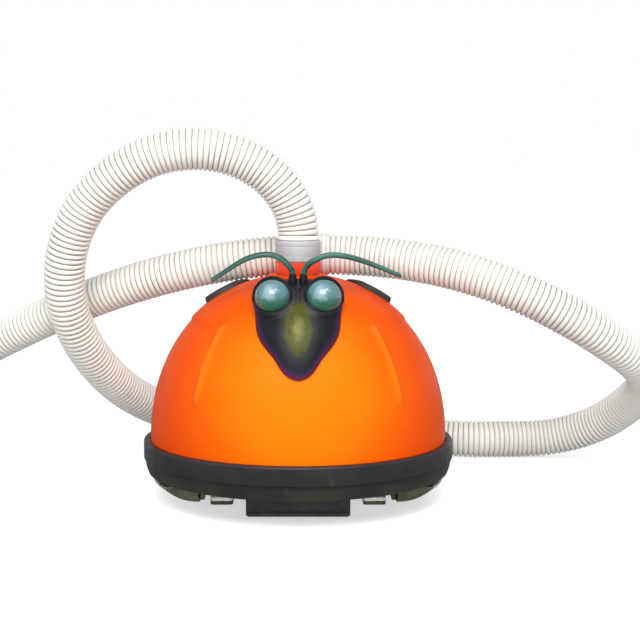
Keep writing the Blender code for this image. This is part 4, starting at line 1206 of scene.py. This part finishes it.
def paint_cad():
    """Gives each CAD solid that stays in sight its material and a weld of its vertices; the base pan,
    turbine housing, steering gearbox, floats and rocker frames also get softened edges.
    """
    for name, node in NODES.items():
        if node.hide_render:
            continue
        words = [word for word in CAD_PAINTS if word in name]
        paint = PAINTS[CAD_PAINTS[words[0]] if words else "chassis"]
        node.data.materials.clear()
        node.data.materials.append(paint)
        merge = node.modifiers.new("weld", "WELD")
        merge.merge_threshold = 0.00002
        if name in ("base_pan", "turbine_housing", "steering_gearbox", "front_float", "rear_float"):
            soften(node, 0.0006, 2)
        elif name.startswith("rocker_frame"):
            soften(node, 0.0005, 2)


# ---------------------------------------------------------------- stage


def light_up(paper, strength):
    shader = paper.node_tree.nodes["Principled BSDF"]
    shader.inputs["Emission Color"].default_value = (1.0, 1.0, 1.0, 1.0)
    shader.inputs["Emission Strength"].default_value = strength


def make_world():
    """Grey all round, paler overhead, with a white band along the horizon."""
    world = bpy.data.worlds.new("studio")
    world.use_nodes = True
    tree = world.node_tree
    way = add(tree, "ShaderNodeTexCoord").outputs["Generated"]
    height = axis_of(tree, way, "Z")
    sky = ramp(tree, height, -1.0, 1.0, 0.22, 0.58)
    above = ramp(tree, height, 0.14, 0.24, 1.0, 0.0)
    below = ramp(tree, height, -0.10, -0.05)
    band = calculate(tree, "MULTIPLY", above, below)
    background = tree.nodes["Background"]
    background.inputs["Color"].default_value = (1.0, 1.0, 1.0, 1.0)
    tree.links.new(calculate(tree, "MAXIMUM", sky, band), background.inputs["Strength"])
    return world


def make_stage():
    """A pale floor, a soft key light by the camera, a small light high on the right, a low fill in front and
    a white surround.
    """
    size = 40.0
    mesh = bpy.data.meshes.new("studio_floor")
    mesh.from_pydata(
        [(-size, -size, -0.0002), (size, -size, -0.0002), (size, size, -0.0002), (-size, size, -0.0002)],
        [],
        [(0, 1, 2, 3)],
    )
    paper = moulded("floor_paper", (0.86, 0.86, 0.86), (0.88, 0.88, 0.88), (0.8, 0.9), 200.0, 0.0001)
    mesh.materials.append(paper)
    floor = bpy.data.objects.new("studio_floor", mesh)
    bpy.context.scene.collection.objects.link(floor)
    floor.visible_diffuse = False
    floor.visible_glossy = False
    light_up(paper, 0.55)
    bpy.context.scene.world = make_world()
    lights = (
        ("key", -6.0, 42.0, 2.2, 1.30, 0.90, 29.0),
        ("spark", 34.0, 56.0, 2.0, 0.30, 0.22, 4.0),
        ("front_fill", 3.0, 1.0, 2.6, 1.60, 0.30, 26.0),
    )
    aim = Vector((0.0, 0.0, 0.16))
    for name, azimuth, elevation, distance, wide, tall, power in lights:
        lamp = bpy.data.lights.new(name, "AREA")
        lamp.shape = "RECTANGLE"
        lamp.size, lamp.size_y, lamp.energy = wide, tall, power
        holder = bpy.data.objects.new(name, lamp)
        a, e = math.radians(azimuth), math.radians(elevation)
        back = Vector((math.sin(a) * math.cos(e), -math.cos(a) * math.cos(e), math.sin(e)))
        holder.location = aim + back * distance
        holder.rotation_euler = (-back).to_track_quat("-Z", "Y").to_euler()
        holder.visible_glossy = name != "front_fill"
        bpy.context.scene.collection.objects.link(holder)


def make_camera():
    """The camera looks a little down on the front, with the cleaner just left of the picture's middle."""
    aim = Vector((0.0, 0.0, 0.2081))
    distance, elevation = 1.5, math.radians(7.0)
    lens = bpy.data.cameras.new("camera")
    lens.sensor_width = 36.0
    lens.lens = 73.1
    lens.shift_x = 0.0342
    camera = bpy.data.objects.new("camera", lens)
    back = Vector((0.0, -math.cos(elevation), math.sin(elevation)))
    camera.location = aim + back * distance
    camera.rotation_euler = (-back).to_track_quat("-Z", "Y").to_euler()
    bpy.context.scene.collection.objects.link(camera)
    bpy.context.scene.camera = camera
    bpy.context.scene.view_settings.view_transform = "Standard"


make_camera()
make_hose()
make_shell()
make_bumper()
make_head()
make_eyes()
make_eye_rims()
make_antennas()
make_pads()
make_neck()
make_swivel()
make_feet()
make_flaps()
make_wings()
paint_cad()
make_stage()
